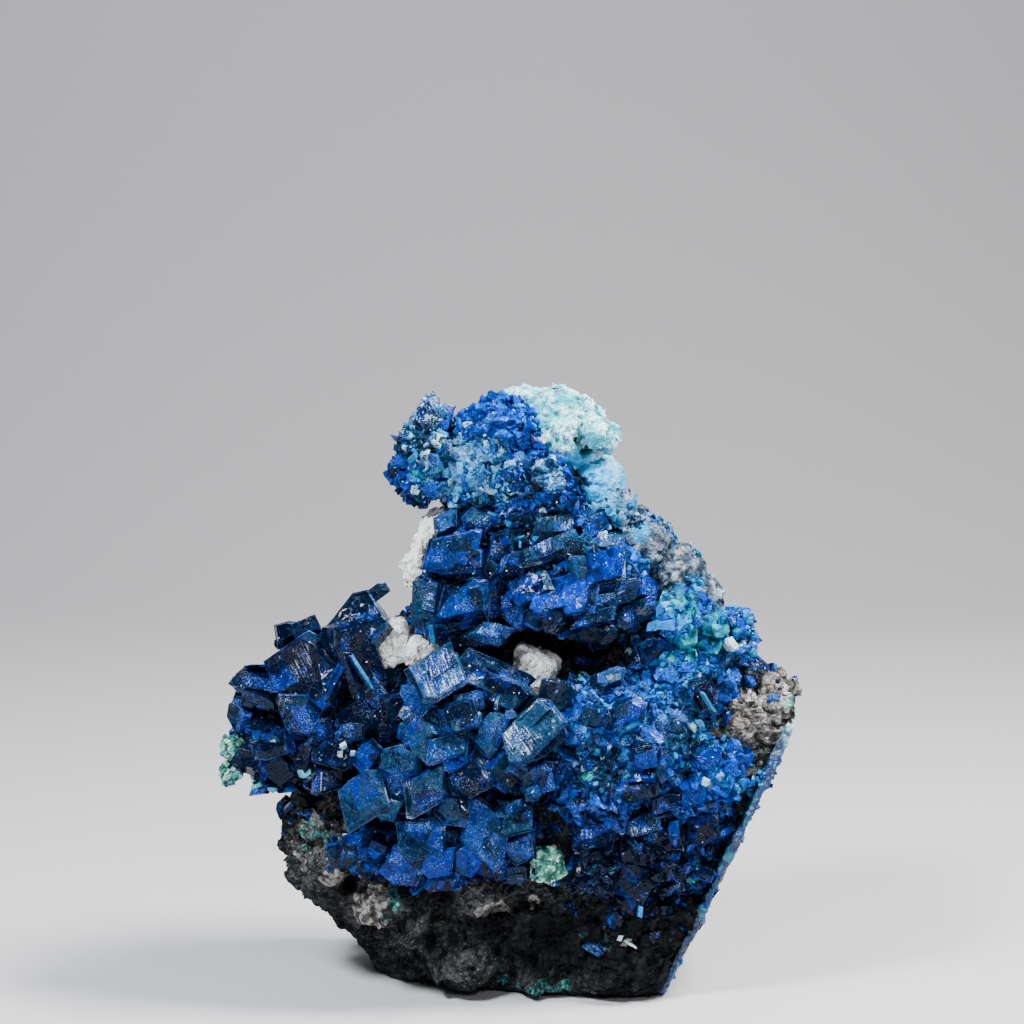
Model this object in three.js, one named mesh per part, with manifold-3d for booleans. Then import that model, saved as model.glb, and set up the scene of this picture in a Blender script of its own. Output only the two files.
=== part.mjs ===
// An azurite specimen: blocky dark blue crystals grown in clusters over a broken piece of dark host
// rock, with a pale crust on its crest, white clay lumps in its gaps and small green malachite tufts.
// Millimetres, +Z up, +X to the right and -Y towards the viewer. The origin is on the resting face.
import * as THREE from "three";
import { ConvexGeometry } from "three/addons/geometries/ConvexGeometry.js";
import { mergeVertices } from "three/addons/utils/BufferGeometryUtils.js";
import Module from "manifold-3d";

const wasm = await Module();
wasm.setup();

// Driving dimensions.
const gap = 0.35; // between touching pieces
const eye = { x: 0.7, y: -480, z: 158, lean: 9, reach: 474, middleX: 0.7, middleUp: 81.3 };
const rockSides = 18; // corners in one section of the host rock
const rindThickness = 1.5;

const radians = THREE.MathUtils.degToRad;

// A repeatable number from 0 to 1 for a whole number.
function chance(n) {
  const s = Math.sin(n * 127.1 + 311.7) * 43758.5453;
  return s - Math.floor(s);
}

// A place given on the front drawing, as (across, up), and its depth. The drawing is in perspective:
// it shows the specimen from the eye, which looks down on it by eye.lean degrees.
function place(across, up, depth) {
  const lean = radians(eye.lean);
  const v = up - eye.middleUp;
  const ray = new THREE.Vector3(
    across - eye.middleX,
    eye.reach * Math.cos(lean) + v * Math.sin(lean),
    v * Math.cos(lean) - eye.reach * Math.sin(lean),
  );
  return new THREE.Vector3(eye.x, eye.y, eye.z).addScaledVector(ray, (depth - eye.y) / ray.y);
}

// A closed three.js geometry as a manifold solid.
function solidOf(geometry) {
  const bare = new THREE.BufferGeometry();
  bare.setAttribute("position", geometry.getAttribute("position"));
  if (geometry.index) bare.setIndex(geometry.index);
  const merged = mergeVertices(bare, 1e-4);
  return new wasm.Manifold(
    new wasm.Mesh({
      numProp: 3,
      vertProperties: new Float32Array(merged.attributes.position.array),
      triVerts: new Uint32Array(merged.index.array),
    }),
  );
}

// Crystals.
// A crystal is a leaning four-cornered outline, long by wide, carried back from its front face. Its
// front is narrowed by ridge across and by tip along. Its long side leans up from +X, and its front
// face turns to the right by yaw and upwards by pitch.
const skew = Math.tan(radians(12));
const bluntness = 0.3; // a front narrowed by no more than this stays as wide as the rest

function crystal([across, up, depth, long, wide, deep, lean, yaw, pitch, ridge, tip], grow) {
  const front = new THREE.Vector3(
    Math.sin(radians(yaw)) * Math.cos(radians(pitch)),
    -Math.cos(radians(yaw)) * Math.cos(radians(pitch)),
    Math.sin(radians(pitch)),
  );
  const along = new THREE.Vector3(Math.cos(radians(lean)), 0, Math.sin(radians(lean)));
  along.addScaledVector(front, -along.dot(front)).normalize();
  const side = new THREE.Vector3().crossVectors(front, along);
  const l = long / 2 + grow;
  const w = wide / 2 + grow;
  const outline = [
    [l, -w],
    [l, w],
    [-l, w],
    [-l, -w],
  ];
  const narrowing = Math.max(ridge, tip);
  const back = [-deep - grow, 0.85, 0.85];
  const pointed = [[grow, 1 - tip, 1 - ridge], [grow - (0.06 + 0.5 * narrowing) * deep, 1, 1], back];
  const levels = narrowing > bluntness ? pointed : [[grow, 1, 1], back];
  const middle = place(across, up, depth);
  const points = levels.flatMap(([out, alongScale, sideScale]) =>
    outline.map(([a, b]) =>
      middle
        .clone()
        .addScaledVector(along, (a + b * skew) * alongScale)
        .addScaledVector(side, b * sideScale)
        .addScaledVector(front, out),
    ),
  );
  return solidOf(new ConvexGeometry(points));
}

// A lump is a round mass with a knobbly surface, of 20 faces, or of 80 if it is fine.
function lump([x, y, z, rx, ry, rz], seed, grow, fine = true) {
  const ball = new THREE.IcosahedronGeometry(1, fine ? 1 : 0);
  ball.deleteAttribute("normal");
  ball.deleteAttribute("uv");
  const merged = mergeVertices(ball, 1e-4);
  const position = merged.getAttribute("position");
  for (let i = 0; i < position.count; i += 1) {
    const swell = 0.9 + 0.2 * chance(seed * 97 + i);
    position.setXYZ(
      i,
      x + position.getX(i) * (rx * swell + grow),
      y + position.getY(i) * (ry * swell + grow),
      z + position.getZ(i) * (rz * swell + grow),
    );
  }
  return solidOf(merged);
}

// Host rock.
// Its sections, from the ground up: height, how far it reaches left, right, forwards and back, and
// how much nearer it comes for each millimetre to the right.
const rockSections = [
  [0, -24, 32, -10, 14, 0.2],
  [2.5, -25.2, 34, -12, 16, 0.18],
  [8, -27, 36, -13.5, 17, 0.13],
  [13.5, -31, 38, -14.5, 17.5, 0.08],
  [18, -37.5, 40, -15, 18, 0.03],
  [23, -39.8, 43, -15.5, 18, 0],
  [29, -39, 46, -15.5, 18, 0],
  [34, -36.5, 48, -15, 17.5, 0],
  [40, -28, 50, -14.5, 17, 0],
  [46, -24, 52, -14, 16.5, 0],
  [50.5, -23, 50, -13, 16, 0],
  [55, -21.5, 43, -10.5, 15, 0],
  [62, -18.5, 36, -7, 14, 0],
  [68, -14, 31.5, -7.5, 13, 0],
  [75, -12.5, 25, -8, 12, 0],
  [82, -10, 18.5, -7.5, 11, 0],
  [89, -9.5, 14.5, -6.5, 10, 0],
  [95, -8, 11, -5, 8, 0],
  [98.5, -4, 7, -3, 4.5, 0],
];
// Flat breaks: a point on each, and the way it faces.
const rockBreaks = [
  { at: [36, -14, 25.2], faces: [0.9, -0.1, -0.41] },
  { at: [0, 14.5, 40], faces: [0.06, 1, 0.1] },
  { at: [-34, 11, 30], faces: [-0.62, 0.75, -0.2] },
  { at: [34, 8, 62], faces: [0.55, 0.6, 0.58] },
];
// The rind ends just above the surface that the rock stands on.
const floorClearance = { at: [0, 0, 0.2], faces: [0, 0, -1] };
const squareness = 3.4; // 2 is an ellipse, and more is nearer to a rectangle

function hostRock(grow) {
  const points = [];
  rockSections.forEach(([z, left, right, forward, back, nearing], level) => {
    for (let i = 0; i < rockSides; i += 1) {
      const turn = ((i + 0.5 * (level % 2)) / rockSides) * 2 * Math.PI;
      const c = Math.cos(turn);
      const s = Math.sin(turn);
      const size = (Math.abs(c) ** squareness + Math.abs(s) ** squareness) ** (-1 / squareness);
      const wobble = level === 0 ? 0 : (chance(level * 31 + i) - 0.5) * 1.4;
      const halfWidth = (right - left) / 2 + wobble + grow;
      const halfDepth = (back - forward) / 2 + wobble + grow;
      const x = (left + right) / 2 + c * size * halfWidth;
      points.push(
        x,
        (forward + back) / 2 + s * size * halfDepth - nearing * x,
        level === 0 ? z - grow : z + grow * (level / rockSections.length),
      );
    }
  });
  const rows = rockSections.length;
  const index = [];
  for (let level = 0; level < rows - 1; level += 1) {
    for (let i = 0; i < rockSides; i += 1) {
      const a = level * rockSides + i;
      const b = level * rockSides + ((i + 1) % rockSides);
      index.push(a, b, b + rockSides, a, b + rockSides, a + rockSides);
    }
  }
  const top = (rows - 1) * rockSides;
  for (let i = 1; i < rockSides - 1; i += 1) {
    index.push(0, i + 1, i, top, top + i, top + i + 1);
  }
  const geometry = new THREE.BufferGeometry();
  geometry.setAttribute("position", new THREE.Float32BufferAttribute(points, 3));
  geometry.setIndex(index);
  return rockBreaks.reduce((rock, brk) => rock.subtract(beyond(brk, grow)), solidOf(geometry));
}

// The block of space beyond a flat break.
function beyond({ at, faces }, grow) {
  const size = 300;
  const normal = new THREE.Vector3(...faces).normalize();
  const box = new THREE.BoxGeometry(size, size, size);
  box.applyQuaternion(
    new THREE.Quaternion().setFromUnitVectors(new THREE.Vector3(0, 0, 1), normal),
  );
  const middle = new THREE.Vector3(...at).addScaledVector(normal, size / 2 + grow);
  box.translate(middle.x, middle.y, middle.z);
  return solidOf(box);
}

// The thin banded rind on the slanting right-hand break.
function sideRind(grow) {
  const normal = new THREE.Vector3(...rockBreaks[0].faces).normalize();
  const outline = [
    [-27, -13],
    [-16, -15],
    [2, -15.5],
    [16, -14],
    [26, -11],
    [24, 3],
    [12, 10],
    [-8, 11.5],
    [-26, 7],
  ];
  const upSlope = new THREE.Vector3(0, 0, 1);
  upSlope.addScaledVector(normal, -upSlope.dot(normal)).normalize();
  const acrossSlope = new THREE.Vector3().crossVectors(normal, upSlope);
  const middle = new THREE.Vector3(...rockBreaks[0].at);
  middle.y = 0;
  middle.addScaledVector(
    normal,
    -new THREE.Vector3().subVectors(middle, new THREE.Vector3(...rockBreaks[0].at)).dot(normal),
  );
  const points = [gap - grow, gap + rindThickness + grow].flatMap((out) =>
    outline.map(([u, depth]) =>
      middle
        .clone()
        .addScaledVector(upSlope, u)
        .addScaledVector(acrossSlope, depth * Math.sign(acrossSlope.y))
        .addScaledVector(normal, out),
    ),
  );
  return solidOf(new ConvexGeometry(points)).subtract(beyond(floorClearance, -grow));
}

// Clusters.
// Each has beds, the round masses that its crystals stand on, fine where they show, and its main
// crystals, as
// [across, up, depth, long, wide, deep, lean, yaw, pitch, ridge, tip].
const clusters = {
  upper_blocks: {
    fine: false,
    beds: [
      [-6, -9, 72, 9, 6, 9],
      [7, -10, 71, 10, 6, 8],
      [16, -8, 73, 9, 6, 8],
      [2, -8, 79, 10, 5, 5],
    ],
    crystals: [
      [-8.8, 74.3, -17, 9, 6.8, 8, 10, 12, 8, 0.12, 0.1],
      [-13.8, 65.8, -15.5, 9.5, 5.2, 8, 88, -25, 0, 0.15, 0.1],
      [-6.5, 66.3, -18, 9, 8, 8, 12, 8, 10, 0.55, 0.15],
      [-3, 61.6, -17.5, 6.5, 3.6, 5, -15, 5, 25, 0.3, 0.6],
      [-6.3, 59.2, -16, 8.5, 4, 6, 5, 0, -20, 0.5, 0.3],
      [8.7, 67, -18, 12.5, 9, 9, 15, -5, 22, 0.35, 0.25],
      [12, 61.3, -16.5, 9.5, 6, 8, -28, 8, -22, 0.3, 0.3],
      [3.3, 69, -16.5, 8, 6.5, 7, 35, -25, 20, 0.3, 0.2],
      [7.5, 75.8, -15, 11, 3.6, 7, 30, 10, 30, 0.3, 0.1],
      [12.3, 71.3, -16, 5.6, 2.8, 5, -72, 20, 5, 0.15, 0.1],
      [17, 72.6, -14.5, 7.5, 6, 7, 18, 22, 20, 0.15, 0.15],
      [16.3, 76, -13, 7, 5, 6, 25, 10, 35, 0.4, 0.3],
      [22.2, 65, -13.5, 7, 4.2, 6, 20, 20, 10, 0.3, 0.2],
      [7.8, 79.2, -13, 6.5, 4.6, 6, 10, 10, 25, 0.4, 0.2],
      [15.3, 79.4, -11, 5.4, 4, 6, 30, 20, 20, 0.4, 0.3],
    ],
  },
  left_arm_crystals: {
    fine: false,
    beds: [
      [-31, -9, 51, 11, 8, 11],
      [-38, -8, 44, 8, 7, 8],
      [-26, -11, 46, 9, 8, 9],
    ],
    crystals: [
      [-27.2, 60.8, -17.5, 13, 8, 9, 55, -28, 22, 0.18, 0.12],
      [-23.6, 56, -19.5, 10, 7, 8, -65, 32, -4, 0.2, 0.25],
      [-24.4, 54.6, -21.5, 6.6, 1, 5, -57, 10, 10, 0.1, 0.05],
      [-28.4, 54.8, -20.5, 11, 2.2, 7, 62, -10, 5, 0.3, 0.1],
      [-35, 54.6, -16.5, 11, 8.2, 8, 30, -18, 10, 0.16, 0.12],
      [-37.6, 61.4, -10, 5.4, 4.2, 7, 20, -30, 15, 0.4, 0.4],
      [-34.2, 62, -11, 5.4, 3.8, 7, 35, -5, 25, 0.4, 0.3],
      [-42, 53.6, -14.5, 10.5, 4.8, 9, -10, -22, 18, 0.55, 0.2],
      [-41.6, 49.7, -15.5, 8.4, 4.4, 8, -12, -12, -8, 0.6, 0.25],
      [-45.6, 47.3, -10, 6, 4.8, 7, 60, -42, 0, 0.3, 0.3],
      [-35, 46.4, -19, 8.6, 6.8, 8, -70, -8, -6, 0.35, 0.4],
      [-38.6, 43, -16, 7.5, 4.4, 7, 15, -10, 20, 0.35, 0.2],
      [-43.4, 39.8, -13.5, 7, 5.8, 8, -8, -28, 5, 0.45, 0.2],
      [-38.3, 38.4, -15, 6.4, 5.2, 7, -45, -5, -10, 0.3, 0.3],
      [-34.2, 40, -18.5, 7.6, 4.4, 7, 70, -20, 5, 0.5, 0.2],
      [-29.6, 36.8, -19.5, 6.4, 4.8, 6, 15, 5, -5, 0.4, 0.3],
      [-26.3, 46.4, -20, 9.5, 6, 7, 32, -10, 18, 0.25, 0.15],
    ],
  },
  middle_crystals: {
    fine: false,
    beds: [
      [-10, -12, 48, 12, 9, 9],
      [0, -13, 45, 11, 9, 10],
      [-16, -13, 39, 11, 9, 7],
    ],
    crystals: [
      [-11.6, 54.2, -23, 9.6, 8, 9, 38, 6, 20, 0.12, 0.1],
      [-3.3, 54.4, -19.5, 12.5, 7, 8, -28, 10, 28, 0.22, 0.15],
      [-1, 51, -21.5, 9, 5.4, 7, -22, -8, 5, 0.3, 0.2],
      [3.6, 44.8, -24, 11.5, 6.6, 9, 42, -14, 15, 0.15, 0.08],
      [6.4, 43, -22.5, 8.6, 3.8, 7, 42, 5, 10, 0.2, 0.1],
      [10.3, 41.4, -18.5, 9.5, 8.4, 7, 60, 25, 0, 0.2, 0.2],
      [-8.3, 47, -24, 6.6, 5.4, 7, 20, -5, 5, 0.3, 0.25],
      [-15.5, 44.6, -22.5, 7.6, 5.4, 7, -30, -15, 12, 0.35, 0.3],
      [-18.4, 39.4, -23, 7.6, 5.6, 7, 10, -8, 10, 0.35, 0.25],
      [-23.7, 40.4, -22, 5.6, 4.8, 6, 60, -15, 5, 0.3, 0.2],
      [-6.3, 37.2, -24.5, 7.4, 6.4, 7, 30, 5, 10, 0.4, 0.3],
      [-0.5, 37.8, -23, 6.6, 5.4, 7, -40, 8, 0, 0.3, 0.2],
      [-13.3, 35, -24, 8.4, 6.4, 7, 30, -5, 8, 0.4, 0.3],
      [-24.6, 33.8, -23, 8.4, 7.4, 8, 35, -15, 15, 0.14, 0.12],
      [-19.2, 47.6, -20, 7.6, 6, 7, 40, 0, 5, 0.2, 0.2],
    ],
  },
  lower_blocks: {
    fine: false,
    beds: [
      [-13, -13, 27, 13, 7, 6.5],
      [-1, -13, 28, 9, 7, 7],
      [-23, -12, 26, 7, 6, 4.5],
    ],
    crystals: [
      [-14.2, 26.8, -23, 8.4, 6.8, 8, 8, 0, 16, 0.12, 0.1],
      [-17.6, 22.4, -21.5, 9.8, 6.8, 8, 55, -22, -4, 0.2, 0.15],
      [-11.7, 22.6, -23.5, 5.8, 5.1, 7, 3, 5, 4, 0.1, 0.08],
      [-10.8, 19, -22, 5.4, 3.8, 6, 5, 0, -25, 0.3, 0.2],
      [-6.6, 23.3, -22, 5.8, 5, 7, 85, 8, 2, 0.12, 0.1],
      [-3.8, 28.2, -22.5, 9, 7.8, 8, 75, 0, 12, 0.15, 0.12],
      [-2.2, 22, -21, 5.4, 4.4, 6, 0, 5, -5, 0.3, 0.2],
      [-25.6, 24.8, -20, 5.6, 5.6, 6, 0, 0, 5, 0.75, 0.75],
      [2, 25.2, -21.5, 5.6, 5.4, 7, 20, 5, 5, 0.35, 0.3],
      [-8.8, 31.6, -23.5, 6, 4.8, 6, -10, 0, 12, 0.3, 0.3],
    ],
  },
  shoulder_druse: {
    fine: false,
    beds: [
      [21, -11.5, 45, 13, 9, 12],
      [29, -9, 55, 9, 7, 9],
      [31, -10, 39, 10, 8, 8],
      [13, -13, 47, 8, 8, 9],
      [15, -14, 38, 8, 8, 7],
    ],
    crystals: [
      [21.5, 34.2, -21.5, 7, 3.4, 6, 15, -5, 0, 0.4, 0.3],
      [33, 51.2, -17, 6, 4.2, 5, -60, 10, 10, 0.4, 0.3],
      [27.5, 44, -19, 6.4, 5.4, 6, 40, 5, 10, 0.4, 0.4],
      [16.5, 53.6, -17.5, 6.4, 3.6, 6, 25, 0, 30, 0.4, 0.3],
      [24.5, 59.2, -15, 6.4, 4, 6, 32, 5, 30, 0.4, 0.3],
      [14.5, 47, -22, 5.4, 4.2, 6, -15, -10, 10, 0.35, 0.3],
      [23, 40, -21.5, 5.6, 4.4, 6, 10, 5, 0, 0.35, 0.3],
      [33.5, 40, -18, 5.8, 4.8, 6, 30, 15, 5, 0.35, 0.3],
      [31, 34.5, -19, 6.4, 4.6, 6, 10, 10, -5, 0.35, 0.3],
    ],
  },
  low_right_crystals: {
    fine: false,
    beds: [
      [25, -11.5, 25, 10, 6, 7],
      [15, -12.5, 25, 7, 6, 6],
    ],
    crystals: [
      [20.7, 19.8, -17.5, 8.4, 7.2, 7, 62, 5, 0, 0.2, 0.4],
      [29.6, 20.4, -15, 8.6, 6.6, 7, -10, 12, 0, 0.3, 0.3],
      [22.4, 29.2, -19.5, 6, 3.4, 6, 22, 0, 15, 0.2, 0.15],
      [14.5, 27, -19.5, 7.2, 5.6, 6, 10, 0, 5, 0.35, 0.3],
      [15.2, 18.8, -17, 6.2, 3, 5, -40, -5, 0, 0.3, 0.2],
      [33, 28.2, -16.5, 6.6, 5.2, 6, 20, 15, 0, 0.35, 0.3],
      [22, 24.2, -17.5, 7.4, 4.4, 6, -20, 0, 5, 0.35, 0.3],
    ],
  },
  head_druse: {
    fine: true,
    beds: [
      [-1.5, -6.5, 96, 7.5, 5, 6],
      [3, -8, 88.5, 7.5, 5, 6],
      [-6, -7, 90, 6.5, 5, 6],
      [8, -8, 84.5, 5, 4, 4],
    ],
    crystals: [
      [-2.5, 98.6, -8, 5.4, 4.4, 6, 40, -10, 20, 0.4, 0.3],
      [1, 95.4, -10.5, 5.6, 4.4, 6, -20, 5, 15, 0.4, 0.3],
      [7, 87, -13, 5.8, 4.4, 6, -60, 15, 10, 0.35, 0.2],
      [-3, 91.4, -12, 5.6, 3.8, 6, 25, -5, 10, 0.4, 0.3],
    ],
  },
  tip_crystals: {
    fine: true,
    beds: [
      [-14, -8, 93.5, 4.8, 4.5, 5.5],
      [-14.5, -7.5, 88.5, 4.5, 4, 3.5],
    ],
    crystals: [
      [-13.8, 97.6, -10.5, 6.4, 5, 6, 60, -10, 20, 0.3, 0.3],
      [-10.6, 97.2, -9.5, 5.6, 3.2, 5, 75, 10, 10, 0.35, 0.2],
      [-16, 93, -11, 5.4, 4.4, 6, 25, -20, 10, 0.35, 0.3],
    ],
  },
};

// Other minerals.
// Each is one or more lumps grown together, as [x, y, z, half width, half depth, half height].
const lumps = {
  pale_crest: [
    [8.5, -1, 95.5, 8.5, 8.5, 7.8],
    [15.4, -5, 95.6, 3.2, 3, 3],
    [14.5, -1, 87, 5.2, 7.5, 5.5],
    [3, 3, 98, 6, 5.5, 5],
  ],
  slope_crust: [
    [17, -4, 82.5, 5.4, 6, 5],
    [22.3, -3.5, 77, 5.8, 6.5, 5.4],
    [27.5, -3, 72, 5.8, 6.5, 5.2],
    [32, -3, 67.5, 4.8, 6, 4.6],
  ],
  green_cap: [
    [29, -10.6, 66.4, 4.4, 3.8, 3.6],
    [33, -10, 63.4, 3.8, 4, 4.2],
  ],
  white_clay_left: [
    [-19.5, -12.4, 62, 3.1, 4.2, 4.2],
    [-14.9, -13, 60.3, 2.9, 3.4, 2.6],
  ],
  white_clay_middle: [[4.2, -9.5, 56.4, 4.6, 4.4, 4.4]],
  white_clay_neck: [
    [-14.4, -7, 73.5, 3.4, 4, 4.2],
    [-13, -7, 77.2, 3, 3.8, 3.4],
    [-11.6, -6.8, 80.4, 3.2, 3.8, 3],
  ],
  ledge_druse: [[38.6, -6, 61.5, 3.4, 4.6, 5]],
  green_nodule: [[6.8, -18.5, 25, 2.8, 2.6, 3]],
  green_tuft_upper: [[-46.6, -9.5, 43.2, 2, 2, 1.9]],
  green_tuft_lower: [[-47, -9.5, 39, 1.6, 1.8, 1.7]],
};

const looks = {
  azurite: { color: 0x12306e, roughness: 0.2, metalness: 0 },
  host: { color: 0x39373a, roughness: 0.9, metalness: 0 },
  crust: { color: 0x9fd8d2, roughness: 0.8, metalness: 0 },
  slope: { color: 0x5f93ae, roughness: 0.8, metalness: 0 },
  clay: { color: 0xe4e6de, roughness: 0.9, metalness: 0 },
  green: { color: 0x3fa38c, roughness: 0.6, metalness: 0 },
  rind: { color: 0x2a93b8, roughness: 0.5, metalness: 0 },
};
const lumpLooks = {
  pale_crest: "crust",
  slope_crust: "slope",
  green_cap: "green",
  white_clay_left: "clay",
  white_clay_middle: "clay",
  white_clay_neck: "clay",
  ledge_druse: "azurite",
  green_nodule: "green",
  green_tuft_upper: "green",
  green_tuft_lower: "green",
};

// Assembly.
function clusterSolid({ beds, crystals, fine }, grow) {
  const solids = [
    ...beds.map((bed, i) => lump(bed, i + 1, grow, fine)),
    ...crystals.map((c) => crystal(c, grow)),
  ];
  return solids.reduce((all, one) => all.add(one));
}

function lumpSolid(parts, grow) {
  return parts.map((p, i) => lump(p, i + 11, grow)).reduce((all, one) => all.add(one));
}

function largest(solid) {
  const pieces = solid.decompose();
  return pieces.reduce((best, one) => (one.volume() > best.volume() ? one : best));
}

function meshOf(name, solid, look) {
  const made = solid.getMesh();
  const geometry = new THREE.BufferGeometry();
  geometry.setAttribute("position", new THREE.Float32BufferAttribute(made.vertProperties, 3));
  geometry.setIndex(new THREE.BufferAttribute(new Uint32Array(made.triVerts), 1));
  const material = new THREE.MeshStandardMaterial({ ...look, flatShading: true });
  const mesh = new THREE.Mesh(geometry, material);
  mesh.name = name;
  return mesh;
}

// Pieces in the order in which they keep their shape: each one is cut clear of those before it.
// The crystals grew round the whole lumps. The rest are cut by what they meet.
const wholeLumps = ["white_clay_middle", "white_clay_left", "green_nodule"];
const cutLumps = Object.keys(lumps).filter((name) => !wholeLumps.includes(name));
const lumpMaker = (name) => [name, (grow) => lumpSolid(lumps[name], grow), lumpLooks[name]];
const makers = [
  ["host_rock", hostRock, "host"],
  ["side_rind", sideRind, "rind"],
  ...wholeLumps.map(lumpMaker),
  ...Object.entries(clusters).map(([name, c]) => [name, (grow) => clusterSolid(c, grow), "azurite"]),
  ...cutLumps.map(lumpMaker),
];

const specimen = new THREE.Group();
const taken = [];
for (const [name, make, look] of makers) {
  const solid = taken.reduce((left, before) => left.subtract(before), make(0));
  specimen.add(meshOf(name, largest(solid), looks[look]));
  taken.push(make(gap));
}

// The origin goes under the middle of the whole specimen.
const middle = new THREE.Box3().setFromObject(specimen).getCenter(new THREE.Vector3());
specimen.position.set(-middle.x, -middle.y, 0);

export default specimen;
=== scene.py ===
import math

import bmesh
import bpy
import numpy as np
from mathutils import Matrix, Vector


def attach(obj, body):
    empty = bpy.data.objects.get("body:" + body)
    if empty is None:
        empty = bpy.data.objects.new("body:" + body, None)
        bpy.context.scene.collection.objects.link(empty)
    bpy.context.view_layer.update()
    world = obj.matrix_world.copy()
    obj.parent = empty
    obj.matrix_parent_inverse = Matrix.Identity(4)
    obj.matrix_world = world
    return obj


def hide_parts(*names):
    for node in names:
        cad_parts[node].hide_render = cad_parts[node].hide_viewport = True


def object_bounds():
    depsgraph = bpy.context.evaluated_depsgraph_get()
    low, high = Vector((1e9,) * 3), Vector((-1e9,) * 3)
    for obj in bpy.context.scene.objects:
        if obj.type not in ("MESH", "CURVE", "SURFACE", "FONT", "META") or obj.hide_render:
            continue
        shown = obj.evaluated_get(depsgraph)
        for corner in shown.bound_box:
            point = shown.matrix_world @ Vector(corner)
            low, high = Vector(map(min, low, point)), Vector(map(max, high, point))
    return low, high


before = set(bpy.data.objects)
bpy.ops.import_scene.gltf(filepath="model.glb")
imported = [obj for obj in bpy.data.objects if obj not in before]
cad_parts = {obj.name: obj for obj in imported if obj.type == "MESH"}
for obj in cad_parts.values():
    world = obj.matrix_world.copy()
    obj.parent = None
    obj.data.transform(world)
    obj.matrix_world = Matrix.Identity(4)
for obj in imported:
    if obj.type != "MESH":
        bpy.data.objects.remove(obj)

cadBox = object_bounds()
mm = 0.001

# The view, the floor and the light. Lengths are in millimetres.
view = dict(
    eye=(0.7, -480.0, 158.0), lean=9.0, reach=474.0, middle=(0.7, 81.3), lens=100.0, sensor=36.0,
    floorHalf=1500.0, floorBehind=330.0, sweepRadius=300.0, sweepHeight=1500.0,
    floorColor=(0.58, 0.58, 0.6), worldColor=(0.6, 0.65, 0.72), worldStrength=0.1,
)
lights = dict(
    topRight=dict(at=(200, -40, 370), to=(10, 0, 60), size=(95, 85), power=4.8, color=(1.0, 0.98, 0.95)),
    topLeft=dict(at=(-210, -190, 370), to=(-5, 0, 50), size=(95, 85), power=3.6,
                 color=(0.93, 0.96, 1.0)),
    front=dict(at=(120, -560, 420), to=(0, 0, 45), size=(150, 110), power=0.9, color=(1.0, 1.0, 1.0)),
)

# The sketch frame has its own origin: the middle of the whole specimen stands there.
sketchMiddle = np.array([0.46, -3.92, 0.0])
lowCorner, highCorner = (np.array(corner) / mm for corner in cadBox)
shift = np.array([*((lowCorner + highCorner) / 2 - sketchMiddle)[:2], 0.0])
eye = np.array(view["eye"]) + shift


def place(across, up, depth):
    # A spot on the front sketch, followed along the line of sight to a depth. Numbers or arrays.
    lean = math.radians(view["lean"])
    u = np.asarray(across, float) - view["middle"][0]
    v = np.asarray(up, float) - view["middle"][1]
    rayY = view["reach"] * math.cos(lean) + v * math.sin(lean)
    rayZ = v * math.cos(lean) - view["reach"] * math.sin(lean)
    far = (np.asarray(depth, float) - view["eye"][1]) / rayY
    return np.stack([eye[0] + u * far, eye[1] + rayY * far, eye[2] + rayZ * far], -1)


# Camera, floor and lights.
def makeCamera():
    cam = bpy.data.cameras.new("camera")
    cam.lens = view["lens"]
    cam.sensor_width = view["sensor"]
    cam.clip_end = 20
    obj = bpy.data.objects.new("camera", cam)
    obj.location = eye * mm
    obj.rotation_euler = (math.radians(90 - view["lean"]), 0, 0)
    bpy.context.scene.collection.objects.link(obj)
    bpy.context.scene.camera = obj


def makeLights():
    for name, light in lights.items():
        data = bpy.data.lights.new(name, "AREA")
        data.shape = "RECTANGLE"
        data.size, data.size_y = (s * mm for s in light["size"])
        data.energy = light["power"]
        data.color = light["color"]
        obj = bpy.data.objects.new(name, data)
        at, to = np.array(light["at"]) * mm, np.array(light["to"]) * mm
        obj.location = at
        obj.rotation_euler = Vector(to - at).to_track_quat("-Z", "Y").to_euler()
        bpy.context.scene.collection.objects.link(obj)
    world = bpy.data.worlds.new("studio")
    world.use_nodes = True
    background = world.node_tree.nodes["Background"]
    background.inputs["Color"].default_value = (*view["worldColor"], 1)
    background.inputs["Strength"].default_value = view["worldStrength"]
    bpy.context.scene.world = world


# Arrays of points, in millimetres.
def unit(v):
    return v / np.maximum(np.linalg.norm(v, axis=-1, keepdims=True), 1e-9)


def hashed(cells, seed):
    # A repeatable number from 0 to 1 for each whole-number cell.
    x, y, z = (cells[..., k] * prime for k, prime in enumerate((73856093, 19349663, 83492791)))
    h = x ^ y ^ z ^ (seed * 2654435)
    h = ((h ^ (h >> 13)) * 1274126177) & 0x7FFFFFFFFFFF
    h = (h ^ (h >> 16)) & 0xFFFFFF
    return h / float(0xFFFFFF)


def smoothNoise(points, size, seed):
    # Random numbers on a lattice, blended by the smooth step of the place in its cell. From -1 to 1.
    q = points / size
    cell = np.floor(q).astype(np.int64)
    f = q - cell
    f = f * f * (3 - 2 * f)
    total = np.zeros(len(points))
    for corner in np.ndindex(2, 2, 2):
        weight = np.prod(np.where(np.array(corner) == 1, f, 1 - f), axis=-1)
        total += hashed(cell + np.array(corner), seed) * weight
    return total * 2 - 1


def layeredNoise(points, size, seed, layers=4):
    # Smooth noise at halving sizes, each layer half as strong as the one before.
    return sum(smoothNoise(points, size / 2 ** i, seed + i) * 0.5 ** i for i in range(layers))


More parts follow.
